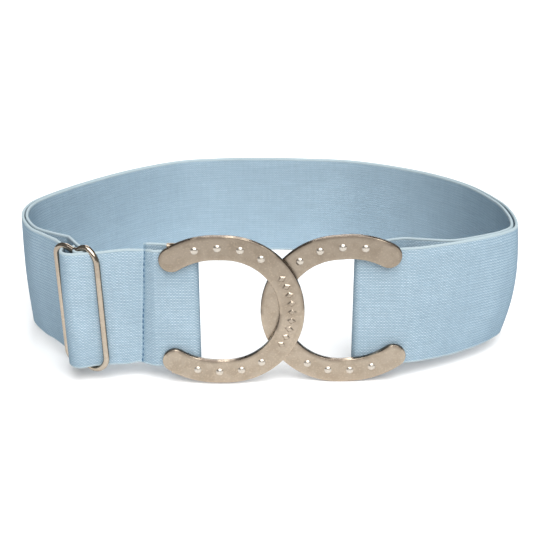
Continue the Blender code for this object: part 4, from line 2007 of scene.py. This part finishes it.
@dataclass
class ElasticBelt:
    """The whole belt: strip, sewing, horseshoes with their fittings, and slide."""

    sizes: BeltSizes = field(default_factory=BeltSizes)
    stitch_pitch: float = 0.0030
    stitch_margin: float = 0.0022
    flap_stitch_back: float = 0.0048
    flap_search: float = 0.05

    def build(self) -> None:
        """Builds and dresses every piece."""
        groups = {"mottle": mottle_group(), "rib_weave": RibWeave().group()}
        elastic = ElasticFinish(groups, self.sizes.strap_width / 2).material()
        thread = ThreadFinish(groups).material()
        plate_metal = MetalFinish(
            groups, "satin_champagne_nickel", face=(0.375, 0.315, 0.25), rim=(0.50, 0.41, 0.31),
            tarnish=(0.22, 0.17, 0.12), roughness=0.34).material()
        wire_metal = MetalFinish(
            groups, "bright_champagne_wire", face=(0.47, 0.40, 0.32), rim=(0.60, 0.50, 0.40),
            tarnish=(0.32, 0.26, 0.20), roughness=0.14, edge_shade=0.75).material()
        self._strip(elastic, thread)
        for side in Side:
            self._horseshoe(side, plate_metal)
        slide = WireSlide(self.sizes).build()
        self._dress(slide, wire_metal, "slide_buckle")

    def _dress(self, piece: Piece, material: bpy.types.Material,
               node: str) -> None:
        """Gives a piece its material and its place in the frame.

        Args:
            piece: The finished piece.
            material: Its material.
            node: The CAD node it stands for.
        """
        piece.data.materials.append(material)
        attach(piece, BODY)
        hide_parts(node)
        log.info("%s: %d faces", piece.name, len(piece.data.polygons))

    def _strip(self, elastic: bpy.types.Material, thread: bpy.types.Material) -> None:
        """The strip and the stitches at its two ends."""
        strip = ElasticStrip(self.sizes, BeltRoute(self.sizes))
        cloth = strip.build()
        self._dress(cloth, elastic, "elastic_strap")
        rows = [SewnRow("seam_stitches_front", self._seam_stitches(strip, False)).build(),
                SewnRow("seam_stitches_back", self._seam_stitches(strip, True)).build(),
                SewnRow("flap_stitches", self._flap_stitches(strip)).build()]
        for row in rows:
            self._dress(row, thread, "elastic_strap")
        log.info("strip: %.3f m long", strip.length)

    def _stitch_heights(self) -> list[float]:
        """Heights of the stitches over the strip's middle line."""
        reach = self.sizes.strap_width / 2 - self.stitch_margin
        count = round(2 * reach / self.stitch_pitch)
        return [-reach + 2 * reach * i / count for i in range(count + 1)]

    def _seam_stitches(self, strip: ElasticStrip,
                       back: bool) -> list[tuple[Vector, Vector, Vector]]:
        """Places of the seam's stitches.

        Args:
            strip: The strip that is sewn.
            back: Whether they are on the fold's inner side.

        Returns:
            Middle, direction and outward normal of each stitch.
        """
        rows = []
        lean = Vector((strip.seam_lean, 0.0, 1.0))
        for height in self._stitch_heights():
            x = self.sizes.seam_x + strip.seam_line
            point, out = strip.spot(x, 0.0, strip.sewn_reach, 1 if back else -1)
            face = point + out * (self.sizes.half_thick - strip.press)
            z = self.sizes.middle_height(point.y) + height
            rows.append((Vector((face.x + strip.seam_shift(height), face.y, z)), lean,
                         out.to_3d()))
        return rows

    def _flap_stitches(self, strip: ElasticStrip) -> list[tuple[Vector, Vector, Vector]]:
        """Places of the stitches that hold the strip's end inside the slide's middle bar."""
        sizes = self.sizes
        point, out = strip.spot(sizes.slide_x - self.flap_stitch_back,
                                strip.length - self.flap_search, strip.length, 1)
        face = point - out * sizes.half_thick
        middle = sizes.middle_height(face.y)
        return [(Vector((face.x, face.y, middle + height)), Vector((0.0, 0.0, 1.0)),
                 -out.to_3d()) for height in self._stitch_heights()]

    def _horseshoe(self, side: Side, metal: bpy.types.Material) -> None:
        """One horseshoe with its bail and, on the left, its hook."""
        node = f"{side.name.lower()}_horseshoe"
        pieces = [HorseshoePlate(self.sizes, side).build(), Bail(self.sizes, side).build()]
        if side is Side.LEFT:
            pieces.append(ToeHook(self.sizes).build())
        for piece in pieces:
            self._dress(piece, metal, node)


def main() -> None:
    """Builds the belt in the studio."""
    logging.basicConfig(level=logging.INFO, format="%(name)s: %(message)s")
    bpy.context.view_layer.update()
    ElasticBelt().build()
    Studio().build()
    deselect_all()
    bpy.context.view_layer.update()


if __name__ == "__main__":
    main()
